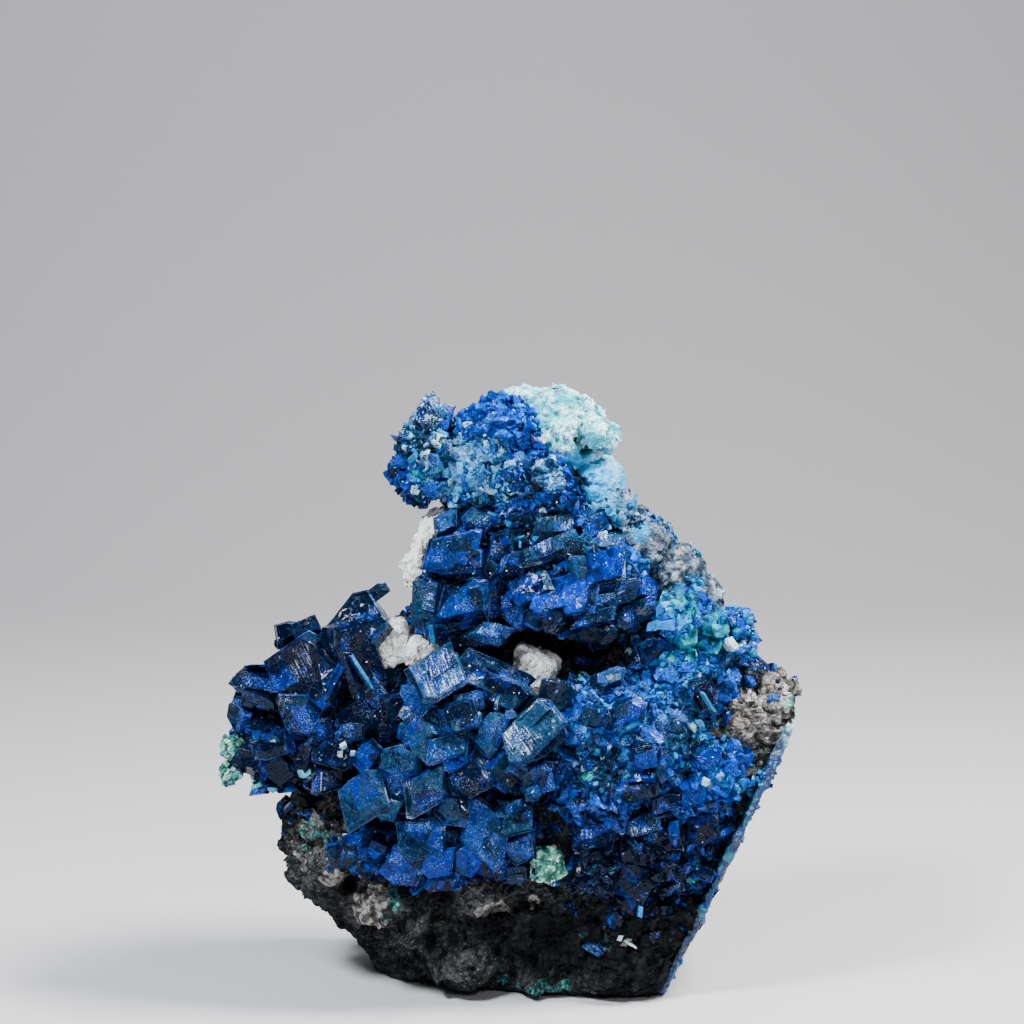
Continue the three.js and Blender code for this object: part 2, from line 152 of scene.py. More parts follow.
def cellNoise(points, size, seed):
    # One random point per cell: the distance to the nearest, its own number, and the way from it.
    q = points / size
    cell = np.floor(q).astype(np.int64)
    best = np.full(len(points), 9.0)
    own = np.zeros(len(points))
    offset = np.zeros((len(points), 3))
    for step in np.ndindex(3, 3, 3):
        c = cell + np.array(step) - 1
        spot = c + np.stack([hashed(c, seed + k) for k in range(3)], -1)
        away = np.linalg.norm(q - spot, axis=-1)
        nearer = away < best
        best = np.where(nearer, away, best)
        own = np.where(nearer, hashed(c, seed + 5), own)
        offset = np.where(nearer[:, None], q - spot, offset)
    return best, own, offset


def rise(value, low, high):
    # 0 below low, 1 above high, and the smooth step between them.
    t = np.clip((value - low) / (high - low), 0, 1)
    return t * t * (3 - 2 * t)


def spotMask(points, spots, seed, ragged=0.35):
    # 1 inside any of the round spots (x, y, z, radius), with a wide and ragged edge.
    wander = layeredNoise(points, 3.0, seed, 3) * ragged
    mask = np.zeros(len(points))
    for x, y, z, radius in spots:
        away = np.linalg.norm(points - np.array([x, y, z]), axis=1) / radius + wander
        mask = np.maximum(mask, 1 - rise(away, 0.45, 1.35))
    return mask


# Meshes.
def meshFrom(name, verts, corners, counts):
    # verts are in millimetres; corners is one flat list, of which each face takes its count.
    mesh = bpy.data.meshes.new(name)
    flat = (np.asarray(verts, float).reshape(-1, 3) * mm).astype(np.float32)
    mesh.vertices.add(len(flat))
    mesh.vertices.foreach_set("co", flat.ravel())
    mesh.loops.add(len(corners))
    mesh.loops.foreach_set("vertex_index", np.asarray(corners, np.int32))
    mesh.polygons.add(len(counts))
    starts = np.concatenate([[0], np.cumsum(counts)[:-1]])
    mesh.polygons.foreach_set("loop_start", starts.astype(np.int32))
    mesh.update(calc_edges=True)
    obj = bpy.data.objects.new(name, mesh)
    bpy.context.scene.collection.objects.link(obj)
    return obj


def finishPiece(obj, material, nodes=()):
    obj.data.materials.clear()
    obj.data.materials.append(material)
    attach(obj, "root")
    if nodes:
        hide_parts(*nodes)
    return obj


def coordsOf(mesh):
    co = np.zeros(len(mesh.vertices) * 3, np.float32)
    mesh.vertices.foreach_get("co", co)
    return co.reshape(-1, 3).astype(float) / mm


def normalsOf(mesh):
    no = np.zeros(len(mesh.vertices) * 3, np.float32)
    mesh.vertex_normals.foreach_get("vector", no)
    return no.reshape(-1, 3).astype(float)


def paint(mesh, name, columns, domain="POINT"):
    # Three numbers for each vertex or face, as a vector that a material reads by name.
    attribute = mesh.attributes.new(name, "FLOAT_VECTOR", domain)
    attribute.data.foreach_set("vector", np.stack(columns, -1).astype(np.float32).ravel())


def voxelCopy(name, nodes, voxel):
    # The nodes' triangles, merged and remade as an even skin of small squares.
    bm = bmesh.new()
    for node in nodes:
        bm.from_mesh(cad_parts[node].data)
    bmesh.ops.remove_doubles(bm, verts=bm.verts, dist=0.00001)
    mesh = bpy.data.meshes.new(name)
    bm.to_mesh(mesh)
    bm.free()
    obj = bpy.data.objects.new(name, mesh)
    bpy.context.scene.collection.objects.link(obj)
    remesh = obj.modifiers.new("remesh", "REMESH")
    remesh.mode = "VOXEL"
    remesh.voxel_size = voxel * mm
    smooth = obj.modifiers.new("smooth", "SMOOTH")
    smooth.factor = 0.5
    smooth.iterations = 4
    evaluated = obj.evaluated_get(bpy.context.evaluated_depsgraph_get())
    made = bpy.data.meshes.new_from_object(evaluated)
    obj.modifiers.clear()
    obj.data = made
    obj.data.name = name
    return obj


def pushOut(obj, amount):
    # Every point moves along its normal, and none goes below the resting surface.
    mesh = obj.data
    points = coordsOf(mesh) + normalsOf(mesh) * amount[:, None]
    points[:, 2] = np.maximum(points[:, 2], 0.0)
    mesh.vertices.foreach_set("co", (points * mm).astype(np.float32).ravel())
    mesh.update()
    return points


# Shader nodes.
def add(tree, kind, inputs=None, **settings):
    # One node. An input is a value or another node's output, by name or number.
    node = tree.nodes.new(kind)
    for key, value in settings.items():
        setattr(node, key, value)
    for key, value in (inputs or {}).items():
        if isinstance(value, bpy.types.NodeSocket):
            tree.links.new(value, node.inputs[key])
        else:
            node.inputs[key].default_value = value
    return node


def maths(tree, operation, a, b=0.0):
    return add(tree, "ShaderNodeMath", {0: a, 1: b}, operation=operation).outputs[0]


def plus(tree, a, b):
    return maths(tree, "ADD", a, b)


def times(tree, a, b):
    return maths(tree, "MULTIPLY", a, b)


def vectors(tree, operation, a, b=(0, 0, 0)):
    return add(tree, "ShaderNodeVectorMath", {0: a, 1: b}, operation=operation).outputs[0]


def stepped(tree, value, low, high):
    inputs = {"Value": value, "From Min": low, "From Max": high}
    return add(tree, "ShaderNodeMapRange", inputs, interpolation_type="SMOOTHSTEP").outputs[0]


def blended(tree, factor, a, b):
    return add(tree, "ShaderNodeMix", {0: factor, 6: a, 7: b}, data_type="RGBA").outputs[2]


def scaled(tree, vector, factor):
    return add(tree, "ShaderNodeVectorMath", {0: vector, "Scale": factor}, operation="SCALE").outputs[0]


def offHalf(tree, color, amount):
    # A random colour made a random way about nought, times an amount.
    return scaled(tree, vectors(tree, "SUBTRACT", color, (0.5, 0.5, 0.5)), amount)


def swing(tree, value, amount):
    # A value about a half made to swing about nought, times an amount.
    return times(tree, maths(tree, "SUBTRACT", value, 0.5), amount)


def cloudNoise(tree, vector, scale, detail, distortion=0.0):
    inputs = {"Vector": vector, "Scale": scale, "Detail": detail, "Distortion": distortion}
    return add(tree, "ShaderNodeTexNoise", inputs).outputs["Fac"]


def cellColor(tree, vector, scale):
    return add(tree, "ShaderNodeTexVoronoi", {"Vector": vector, "Scale": scale}).outputs["Color"]


def newGroup(name, inputs, outputs):
    tree = bpy.data.node_groups.new(name, "ShaderNodeTree")
    for label, value in inputs.items():
        kind = "NodeSocketFloat"
        if isinstance(value, tuple):
            kind = "NodeSocketColor" if len(value) == 4 else "NodeSocketVector"
        tree.interface.new_socket(label, in_out="INPUT", socket_type=kind).default_value = value
    for label, kind in outputs.items():
        tree.interface.new_socket(label, in_out="OUTPUT", socket_type=kind)
    return tree, tree.nodes.new("NodeGroupInput").outputs, tree.nodes.new("NodeGroupOutput").inputs


def makeSpeckGroup():
    # Small irregular flecks of one size that cover a share of the surface. Size is in millimetres.
    tree, given, out = newGroup("specks", {"Vector": (0.0, 0.0, 0.0), "Size": 1.0, "Share": 0.1,
                                           "Soft": 0.03}, {"Mask": "NodeSocketFloat"})
    scale = maths(tree, "DIVIDE", 1 / mm, given["Size"])
    noise = add(tree, "ShaderNodeTexNoise", {"Vector": given["Vector"], "Scale": scale, "Detail": 3.0})
    low = maths(tree, "SUBTRACT", 0.72, times(tree, given["Share"], 0.5))
    mask = stepped(tree, noise.outputs["Fac"], low, plus(tree, low, given["Soft"]))
    tree.links.new(mask, out["Mask"])
    return tree


def makeGrainGroup():
    # Rounded grains of one size: their height, each grain's own number, and a mask of the gaps between
    # them, which the materials darken as painted shade.
    tree, given, out = newGroup("grains", {"Vector": (0.0, 0.0, 0.0), "Size": 1.0},
                                {"Height": "NodeSocketFloat", "Chance": "NodeSocketFloat",
                                 "Gaps": "NodeSocketFloat"})
    scale = maths(tree, "DIVIDE", 1 / mm, given["Size"])
    wander = add(tree, "ShaderNodeTexNoise", {"Vector": given["Vector"], "Scale": scale, "Detail": 4.0})
    moved = vectors(tree, "ADD", given["Vector"], scaled(tree, wander.outputs["Color"], 0.0005))
    cells = add(tree, "ShaderNodeTexVoronoi", {"Vector": moved, "Scale": scale})
    distance = cells.outputs["Distance"]
    fine = times(tree, wander.outputs["Fac"], 0.7)
    height = plus(tree, maths(tree, "SUBTRACT", 1.0, distance), fine)
    tree.links.new(height, out["Height"])
    tree.links.new(add(tree, "ShaderNodeSeparateColor", {0: cells.outputs["Color"]}).outputs[0],
                   out["Chance"])
    tree.links.new(stepped(tree, distance, 0.45, 0.8), out["Gaps"])
    return tree


def makeCrystalGroup():
    # The skin of a crystal face. Tone runs from near black to vivid blue, Sheen is a painted pale steel
    # reflection, Chance differs from face to face, and Facet is a place on the face in millimetres.
    inputs = {"Vector": (0.0, 0.0, 0.0), "Facet": (0.0, 0.0, 0.0), "Tone": 0.5, "Film": 0.3,
              "Chance": 0.5, "Deep": (0.0008, 0.003, 0.014, 1.0), "Vivid": (0.0, 0.016, 0.22, 1.0),
              "Azure": (0.002, 0.11, 0.46, 1.0), "SheenColor": (0.01, 0.066, 0.15, 1.0), "Sparkle": 0.5,
              "Grit": 0.35}
    outputs = {"Color": "NodeSocketColor", "Roughness": "NodeSocketFloat", "Normal": "NodeSocketVector"}
    tree, given, out = newGroup("crystalSkin", inputs, outputs)
    vector = given["Vector"]
    zones = cloudNoise(tree, vector, 230.0, 4.0)
    veils = cloudNoise(tree, vector, 1100.0, 5.0, 0.6)
    fine = cloudNoise(tree, vector, 4200.0, 3.0)
    # Striations run along the face. Inner cleavages are cells, each with a tone and a lean of its own.
    lines = cloudNoise(tree, vectors(tree, "MULTIPLY", given["Facet"], (0.25, 3.2, 1.0)), 1.0, 4.0)
    wander = add(tree, "ShaderNodeTexNoise", {"Vector": vector, "Scale": 700.0}).outputs["Color"]
    inner = cellColor(tree, vectors(tree, "ADD", vector, scaled(tree, wander, 0.7 * mm)), 420.0)
    mosaic = cellColor(tree, vector, 1100.0)
    tiny = cellColor(tree, vector, 3600.0)

    cells = add(tree, "ShaderNodeSeparateColor", {0: inner}).outputs
    spread = plus(tree, swing(tree, zones, 2.3), swing(tree, cells[0], 0.6))
    glow = stepped(tree, plus(tree, given["Tone"], spread), 0.2, 1.05)
    color = blended(tree, glow, given["Deep"], given["Vivid"])
    light = times(tree, stepped(tree, veils, 0.5, 0.8), times(tree, glow, 0.7))
    color = blended(tree, light, color, given["Azure"])
    # The sheen is a painted steel reflection: a haze and streaks along the striations, in its own
    # colour.
    streaks = times(tree, stepped(tree, lines, 0.45, 0.7), 0.3)
    haze = plus(tree, times(tree, stepped(tree, veils, 0.3, 0.75), 0.55), times(tree, cells[1], 0.4))
    sheen = stepped(tree, given["Film"], 0.15, 1.1)
    sheenMask = times(tree, sheen, plus(tree, haze, streaks))
    color = blended(tree, maths(tree, "MINIMUM", sheenMask, 0.9), color, given["SheenColor"])
    # Pale grit with painted glints, more of it where the painted sheen is strong, and painted glints in
    # short streaks on a few of the faces.
    level = maths(tree, "SUBTRACT", 0.64, times(tree, given["Film"], 0.05))
    level = maths(tree, "SUBTRACT", level, times(tree, stepped(tree, zones, 0.48, 0.62), 0.09))
    gritGlints = stepped(tree, fine, level, plus(tree, level, 0.1))
    gritGlints = times(tree, gritGlints, plus(tree, 0.45, times(tree, glow, 0.55)))
    color = blended(tree, times(tree, gritGlints, given["Grit"]), color, (0.27, 0.4, 0.64, 1.0))
    glintFaces = stepped(tree, plus(tree, given["Chance"], times(tree, given["Film"], 0.19)), 0.9, 1.0)
    paintedHighlight = stepped(tree, plus(tree, times(tree, fine, 0.5), times(tree, lines, 0.8)), 0.66, 0.82)
    glintPatches = times(tree, times(tree, glintFaces, paintedHighlight), stepped(tree, zones, 0.45, 0.6))
    color = blended(tree, glintPatches, color, (0.4, 0.49, 0.7, 1.0))
    tree.links.new(color, out["Color"])

    rough = plus(tree, 0.07, times(tree, sheenMask, 0.16))
    rough = plus(tree, rough, times(tree, stepped(tree, veils, 0.4, 0.75), 0.08))
    rough = plus(tree, rough, times(tree, given["Chance"], 0.06))
    tree.links.new(rough, out["Roughness"])

    # The cells of the face lean a little their own way, and some tiny ones a lot, so that it sparkles.
    normal = add(tree, "ShaderNodeNewGeometry").outputs["Normal"]
    lean = vectors(tree, "ADD", offHalf(tree, mosaic, 0.5), offHalf(tree, inner, 0.5))
    lean = scaled(tree, lean, given["Sparkle"])
    streaky = times(tree, stepped(tree, lines, 0.5, 0.65), 0.2)
    chosen = plus(tree, add(tree, "ShaderNodeSeparateColor", {0: tiny}).outputs[1], streaky)
    strong = times(tree, given["Sparkle"], times(tree, stepped(tree, chosen, 0.8, 0.84), 2.0))
    leaning = vectors(tree, "ADD", vectors(tree, "ADD", normal, lean), offHalf(tree, tiny, strong))
    leaning = vectors(tree, "NORMALIZE", leaning)
    height = plus(tree, times(tree, lines, 0.8), times(tree, veils, 0.35))
    height = plus(tree, height, times(tree, fine, 0.45))
    inputs = {"Strength": 0.35, "Distance": 0.1 * mm, "Height": height, "Normal": leaning}
    tree.links.new(add(tree, "ShaderNodeBump", inputs).outputs[0], out["Normal"])
    return tree


groups = dict(specks=makeSpeckGroup(), grains=makeGrainGroup(), crystal=makeCrystalGroup())


def newMaterial(name, **sockets):
    # A material with a Principled shader, its constant sockets set, and the Object coordinates.
    material = bpy.data.materials.new(name)
    material.use_nodes = True
    tree = material.node_tree
    shader = tree.nodes["Principled BSDF"]
    for label, value in sockets.items():
        shader.inputs[label].default_value = value
    return material, tree, shader, add(tree, "ShaderNodeTexCoord").outputs["Object"]


def use(tree, group, **inputs):
    node = tree.nodes.new("ShaderNodeGroup")
    node.node_tree = groups[group]
    for key, value in inputs.items():
        if isinstance(value, bpy.types.NodeSocket):
            tree.links.new(value, node.inputs[key])
        else:
            node.inputs[key].default_value = value
    return node.outputs


def painted(tree, name):
    # The three numbers painted on a mesh under a name.
    attribute = add(tree, "ShaderNodeAttribute", attribute_name=name)
    return add(tree, "ShaderNodeSeparateXYZ", {0: attribute.outputs["Vector"]}).outputs


def azuriteMaterial(name, **values):
    # Azurite, with crystals among it that are tinted green, pale or sky blue.
    material, tree, shader, vector = newMaterial(name, **{"IOR": 1.6, "Specular IOR Level": 0.085})
    look = painted(tree, "look")
    tint = painted(tree, "tint")
    facet = add(tree, "ShaderNodeUVMap", uv_map="facet").outputs["UV"]
    skin = use(tree, "crystal", Vector=vector, Facet=facet, Tone=look[0], Film=look[1], Chance=look[2],
               **values)
    cloud = add(tree, "ShaderNodeTexNoise", {"Vector": vector, "Scale": 900.0,
                                             "Detail": 4.0}).outputs["Fac"]
    cover = times(tree, stepped(tree, cloud, 0.12, 0.5), maths(tree, "SUBTRACT", 1.0,
                                                               times(tree, stepped(tree, cloud, 0.5,
                                                                                   0.62), 0.3)))
    green = blended(tree, look[2], (0.002, 0.12, 0.12, 1), (0.012, 0.46, 0.38, 1))
    color = blended(tree, times(tree, tint[0], cover), skin["Color"], green)
    color = blended(tree, times(tree, tint[1], cover), color, (0.4, 0.64, 0.74, 1))
    color = blended(tree, times(tree, tint[2], cover), color, (0.008, 0.23, 0.56, 1))
    tree.links.new(color, shader.inputs["Base Color"])
    tree.links.new(skin["Roughness"], shader.inputs["Roughness"])
    tree.links.new(skin["Normal"], shader.inputs["Normal"])
    return material


def hostRockMaterial():
    # Dark grains, paler dust and salt in patches that the painted shade takes down, a little paler on
    # the tops of the lumps, brown lumps, flecks of turquoise and green, and painted shade in the gaps
    # and hollows.
    material, tree, shader, vector = newMaterial("hostRock", **{"Specular IOR Level": 0.04})
    stain = painted(tree, "stain")  # brown, turquoise, pale
    high = painted(tree, "relief")  # height of the lumps, painted shade in the hollows, ash less painted shade
    grains = use(tree, "grains", Vector=vector, Size=0.5)
    lumps = use(tree, "grains", Vector=vector, Size=1.1)
    coarse = add(tree, "ShaderNodeTexNoise", {"Vector": vector, "Scale": 260.0,
                                              "Detail": 7.0}).outputs["Fac"]
    rough = add(tree, "ShaderNodeTexNoise", {"Vector": vector, "Scale": 620.0,
                                             "Detail": 5.0}).outputs["Fac"]
    ragged = plus(tree, 1.0, times(tree, maths(tree, "SUBTRACT", rough, 0.5), 4.5))
    stain = [stepped(tree, times(tree, stain[k], ragged), 0.4, 0.62) for k in range(3)]
    color = blended(tree, stepped(tree, coarse, 0.35, 0.7), (0.002, 0.0025, 0.0035, 1),
                    (0.018, 0.019, 0.022, 1))
    dust = times(tree, high[2], stepped(tree, coarse, 0.25, 0.6))
    color = blended(tree, times(tree, dust, 0.75), color, (0.14, 0.145, 0.145, 1))
    salt = use(tree, "specks", Vector=vector, Size=0.45, Share=0.17)["Mask"]
    color = blended(tree, times(tree, salt, high[2]), color, (0.48, 0.56, 0.54, 1))
    shade = times(tree, times(tree, grains["Chance"], lumps["Chance"]), 0.55)
    color = blended(tree, shade, color, (0.085, 0.09, 0.095, 1))
    color = blended(tree, times(tree, high[0], 0.1), color, (0.1, 0.1, 0.105, 1))
    brown = blended(tree, stepped(tree, rough, 0.3, 0.7), (0.11, 0.1, 0.094, 1), (0.4, 0.38, 0.365, 1))
    color = blended(tree, stain[0], color, brown)
    turquoise = blended(tree, stepped(tree, rough, 0.35, 0.65), (0.004, 0.09, 0.1, 1),
                        (0.09, 0.47, 0.42, 1))
    flecks = use(tree, "specks", Vector=vector, Size=2.2, Share=0.08)["Mask"]
    broken = use(tree, "specks", Vector=vector, Size=1.1, Share=0.42, Soft=0.06)["Mask"]
    crusted = times(tree, stain[1], plus(tree, 0.15, times(tree, broken, 0.85)))
    color = blended(tree, maths(tree, "MAXIMUM", crusted, times(tree, flecks, 0.3)), color, turquoise)
    color = blended(tree, stain[2], color, (0.62, 0.64, 0.6, 1))
    # Painted shade: near black in the gaps between grains and lumps, and in the hollows.
    shadedGaps = maths(tree, "MAXIMUM", times(tree, grains["Gaps"], 0.6), times(tree, lumps["Gaps"], 0.8))
    paintedShade = maths(tree, "MAXIMUM", shadedGaps, high[1])
    color = blended(tree, paintedShade, color, (0.0025, 0.003, 0.004, 1))
    tree.links.new(color, shader.inputs["Base Color"])
    tree.links.new(plus(tree, 0.55, times(tree, coarse, 0.4)), shader.inputs["Roughness"])
    height = plus(tree, times(tree, grains["Height"], 0.5), lumps["Height"])
    bump = add(tree, "ShaderNodeBump", {"Strength": 1.0, "Distance": 0.00045, "Height": height})
    tree.links.new(bump.outputs[0], shader.inputs["Normal"])
    return material


def crustMaterial(name, low, middle, high, fleck, fleckShare, grain=0.4, rough=0.7, shine=0.4):
    # A dull crust: its colour goes from the hollows through the slopes to the tops of its bumps, with
    # painted shade in the gaps between grains and in the dips.
    material, tree, shader, vector = newMaterial(name, **{"Specular IOR Level": shine})
    relief = painted(tree, "relief")
    grains = use(tree, "grains", Vector=vector, Size=grain)
    cloud = add(tree, "ShaderNodeTexNoise", {"Vector": vector, "Scale": 420.0,
                                             "Detail": 5.0}).outputs["Fac"]
    level = plus(tree, relief[0], times(tree, maths(tree, "SUBTRACT", cloud, 0.5), 0.9))
    color = blended(tree, stepped(tree, level, 0.1, 0.5), low, middle)
    color = blended(tree, stepped(tree, level, 0.45, 0.95), color, high)
    # Painted shade in the gaps between the grains.
    color = blended(tree, times(tree, grains["Gaps"], 0.35), color, low)
    flecks = use(tree, "specks", Vector=vector, Size=1.3, Share=fleckShare)["Mask"]
    color = blended(tree, maths(tree, "MAXIMUM", flecks, relief[1]), color, fleck)
    # Painted shade in the dips.
    color = blended(tree, relief[2], color, (0.001, 0.06, 0.07, 1))
    tree.links.new(color, shader.inputs["Base Color"])
    shader.inputs["Roughness"].default_value = rough
    bump = add(tree, "ShaderNodeBump", {"Strength": 0.7, "Distance": 0.00018,
                                        "Height": grains["Height"]})
    tree.links.new(bump.outputs[0], shader.inputs["Normal"])
    return material


def rindMaterial():
    # Ragged bands through the thickness, teal inside and blue outside, pale in the top corner.
    material, tree, shader, vector = newMaterial("bandedRind", **{"Specular IOR Level": 0.5})
    relief = painted(tree, "relief")  # depth through the thickness, top corner, knobs
    grains = use(tree, "grains", Vector=vector, Size=0.5)
    cloud = add(tree, "ShaderNodeTexNoise", {"Vector": vector, "Scale": 500.0,
                                             "Detail": 6.0}).outputs["Fac"]
    level = plus(tree, relief[0], times(tree, maths(tree, "SUBTRACT", cloud, 0.5), 2.2))
    color = blended(tree, stepped(tree, level, 0.0, 0.35), (0.002, 0.04, 0.09, 1),
                    (0.006, 0.13, 0.22, 1))
    color = blended(tree, stepped(tree, level, 0.3, 0.55), color, (0.001, 0.02, 0.14, 1))
    color = blended(tree, stepped(tree, level, 0.85, 1.2), color, (0.002, 0.06, 0.2, 1))
    patches = add(tree, "ShaderNodeTexNoise", {"Vector": vector, "Scale": 130.0,
                                               "Detail": 5.0}).outputs["Fac"]
    color = blended(tree, stepped(tree, patches, 0.46, 0.54), color, (0.002, 0.014, 0.07, 1))
    color = blended(tree, stepped(tree, patches, 0.58, 0.64), color, (0.004, 0.12, 0.19, 1))
    # Painted shade in the gaps between the grains.
    color = blended(tree, times(tree, grains["Gaps"], 0.6), color, (0.004, 0.02, 0.06, 1))
    pale = use(tree, "specks", Vector=vector, Size=0.8, Share=0.2)["Mask"]
    pale = times(tree, pale, plus(tree, 0.12, relief[1]))
    color = blended(tree, pale, color, (0.3, 0.7, 0.76, 1))
    dust = times(tree, stepped(tree, cloud, 0.35, 0.6), relief[1])
    color = blended(tree, dust, color, (0.45, 0.78, 0.78, 1))
    tree.links.new(color, shader.inputs["Base Color"])
    shader.inputs["Roughness"].default_value = 0.45
    bump = add(tree, "ShaderNodeBump", {"Strength": 0.7, "Distance": 0.0002, "Height": grains["Height"]})
    tree.links.new(bump.outputs[0], shader.inputs["Normal"])
    return material


azuriteBlocks = azuriteMaterial("azuriteBlocks", Sparkle=0.55, Grit=0.45)
azuriteDruse = azuriteMaterial("azuriteDruse", Sparkle=0.9, Grit=0.5, Vivid=(0.0, 0.045, 0.4, 1.0),
                               Azure=(0.002, 0.26, 0.7, 1.0))
hostRockSkin = hostRockMaterial()
paleCrustSkin = crustMaterial("paleCrust", (0.015, 0.34, 0.42, 1), (0.24, 0.72, 0.76, 1),
                              (0.8, 0.95, 0.93, 1),
                              (0.004, 0.34, 0.68, 1), 0.05, grain=0.32)
slopeCrustSkin = crustMaterial("slopeCrust", (0.015, 0.03, 0.055, 1), (0.06, 0.1, 0.15, 1),
                               (0.3, 0.31, 0.34, 1), (0.01, 0.24, 0.5, 1), 0.12, grain=0.35)
claySkin = crustMaterial("whiteClay", (0.6, 0.64, 0.6, 1), (0.92, 0.94, 0.91, 1), (0.97, 0.97, 0.96, 1),
                         (0.4, 0.68, 0.6, 1), 0.1, grain=0.25, rough=0.85)
malachiteSkin = crustMaterial("malachite", (0.006, 0.06, 0.05, 1), (0.02, 0.24, 0.18, 1),
                              (0.36, 0.68, 0.5, 1),
                              (0.7, 0.82, 0.72, 1), 0.2, grain=0.3, rough=0.5)
capSkin = crustMaterial("tealCap", (0.0, 0.03, 0.07, 1), (0.0, 0.15, 0.24, 1), (0.002, 0.42, 0.38, 1),
                        (0.002, 0.12, 0.5, 1), 0.3, grain=0.3, rough=0.4, shine=0.12)
rindSkin = rindMaterial()
print("materials made")


# Crystals.
def crystalArrays(middle, along, front, size, narrow, corners, seed, loose=0.3, plain=False):
    # A leaning outline of corners, carried from the back of each crystal through its shoulder to its
    # front face. Each level is the outline times its own width and length. Loose crystals have uneven
    # corners, and front faces that slant and stand to one side. Plain ones have no narrow edge faces.
    rng = np.random.default_rng(seed)
    count = len(middle)
    front = unit(front)
    along = unit(along - (along * front).sum(1, keepdims=True) * front)
    side = np.cross(front, along)
    one, cut = np.ones(count), rng.uniform(0.1, 0.7, (2, count))
    if corners == 6:
        a = np.stack([one, one, 1 - cut[0], -one, -one, cut[1] - 1], 1)
        b = np.stack([-one, 1 - cut[0], one, one, cut[1] - 1, -one], 1)
    else:
        a = np.tile([1.0, 1.0, -1.0, -1.0], (count, 1))
        b = np.tile([-1.0, 1.0, 1.0, -1.0], (count, 1))
    a = a + rng.uniform(-0.3, 0.3, a.shape) * loose
    b = b + rng.uniform(-0.3, 0.3, b.shape) * loose
    skew = np.tan(np.radians(rng.uniform(2, 14 + 30 * loose, (count, 1))))
    a = a * size[:, :1] / 2 + b * size[:, 1:2] / 2 * skew
    b = b * size[:, 1:2] / 2
    deep, least = size[:, 2:3], size[:, :2].min(1, keepdims=True)
    ridge, tip = narrow[:, :1], narrow[:, 1:2]
    shoulder = (0.05 + 0.5 * narrow.max(1, keepdims=True)) * deep
    rim = 0.022 * least
    levels = [
        (-deep, 0.75, 0.75, 0),
        (-shoulder - rim, 1.0, 1.0, 0),
        (-shoulder + rim * 0.5, 1 - tip * 0.1 - 0.03, 1 - ridge * 0.1 - 0.03, 0.08),
        (-rim * 0.8, 1 - tip - 0.015, 1 - ridge - 0.015, 1),
        (0 * deep, (1 - tip) * 0.95, (1 - ridge) * 0.95, 1),
    ]
    if plain:
        levels = [levels[0], levels[1], levels[4]]
    lean = rng.uniform(-1, 1, (2, count, 1)) * (0.06 + 0.3 * loose)
    aside = rng.uniform(-1, 1, (2, count, 1)) * (0.3 + 0.6 * loose)
    points = []
    for out, alongScale, sideScale, slant in levels:
        u = a * alongScale + aside[0] * tip * size[:, :1] / 2 * slant
        v = b * sideScale + aside[1] * ridge * size[:, 1:2] / 2 * slant
        w = out + (u * lean[0] + v * lean[1]) * slant
        points.append(middle[:, None] + u[..., None] * along[:, None] + v[..., None] * side[:, None]
                      + w[..., None] * front[:, None])
    return np.stack(points, 1)
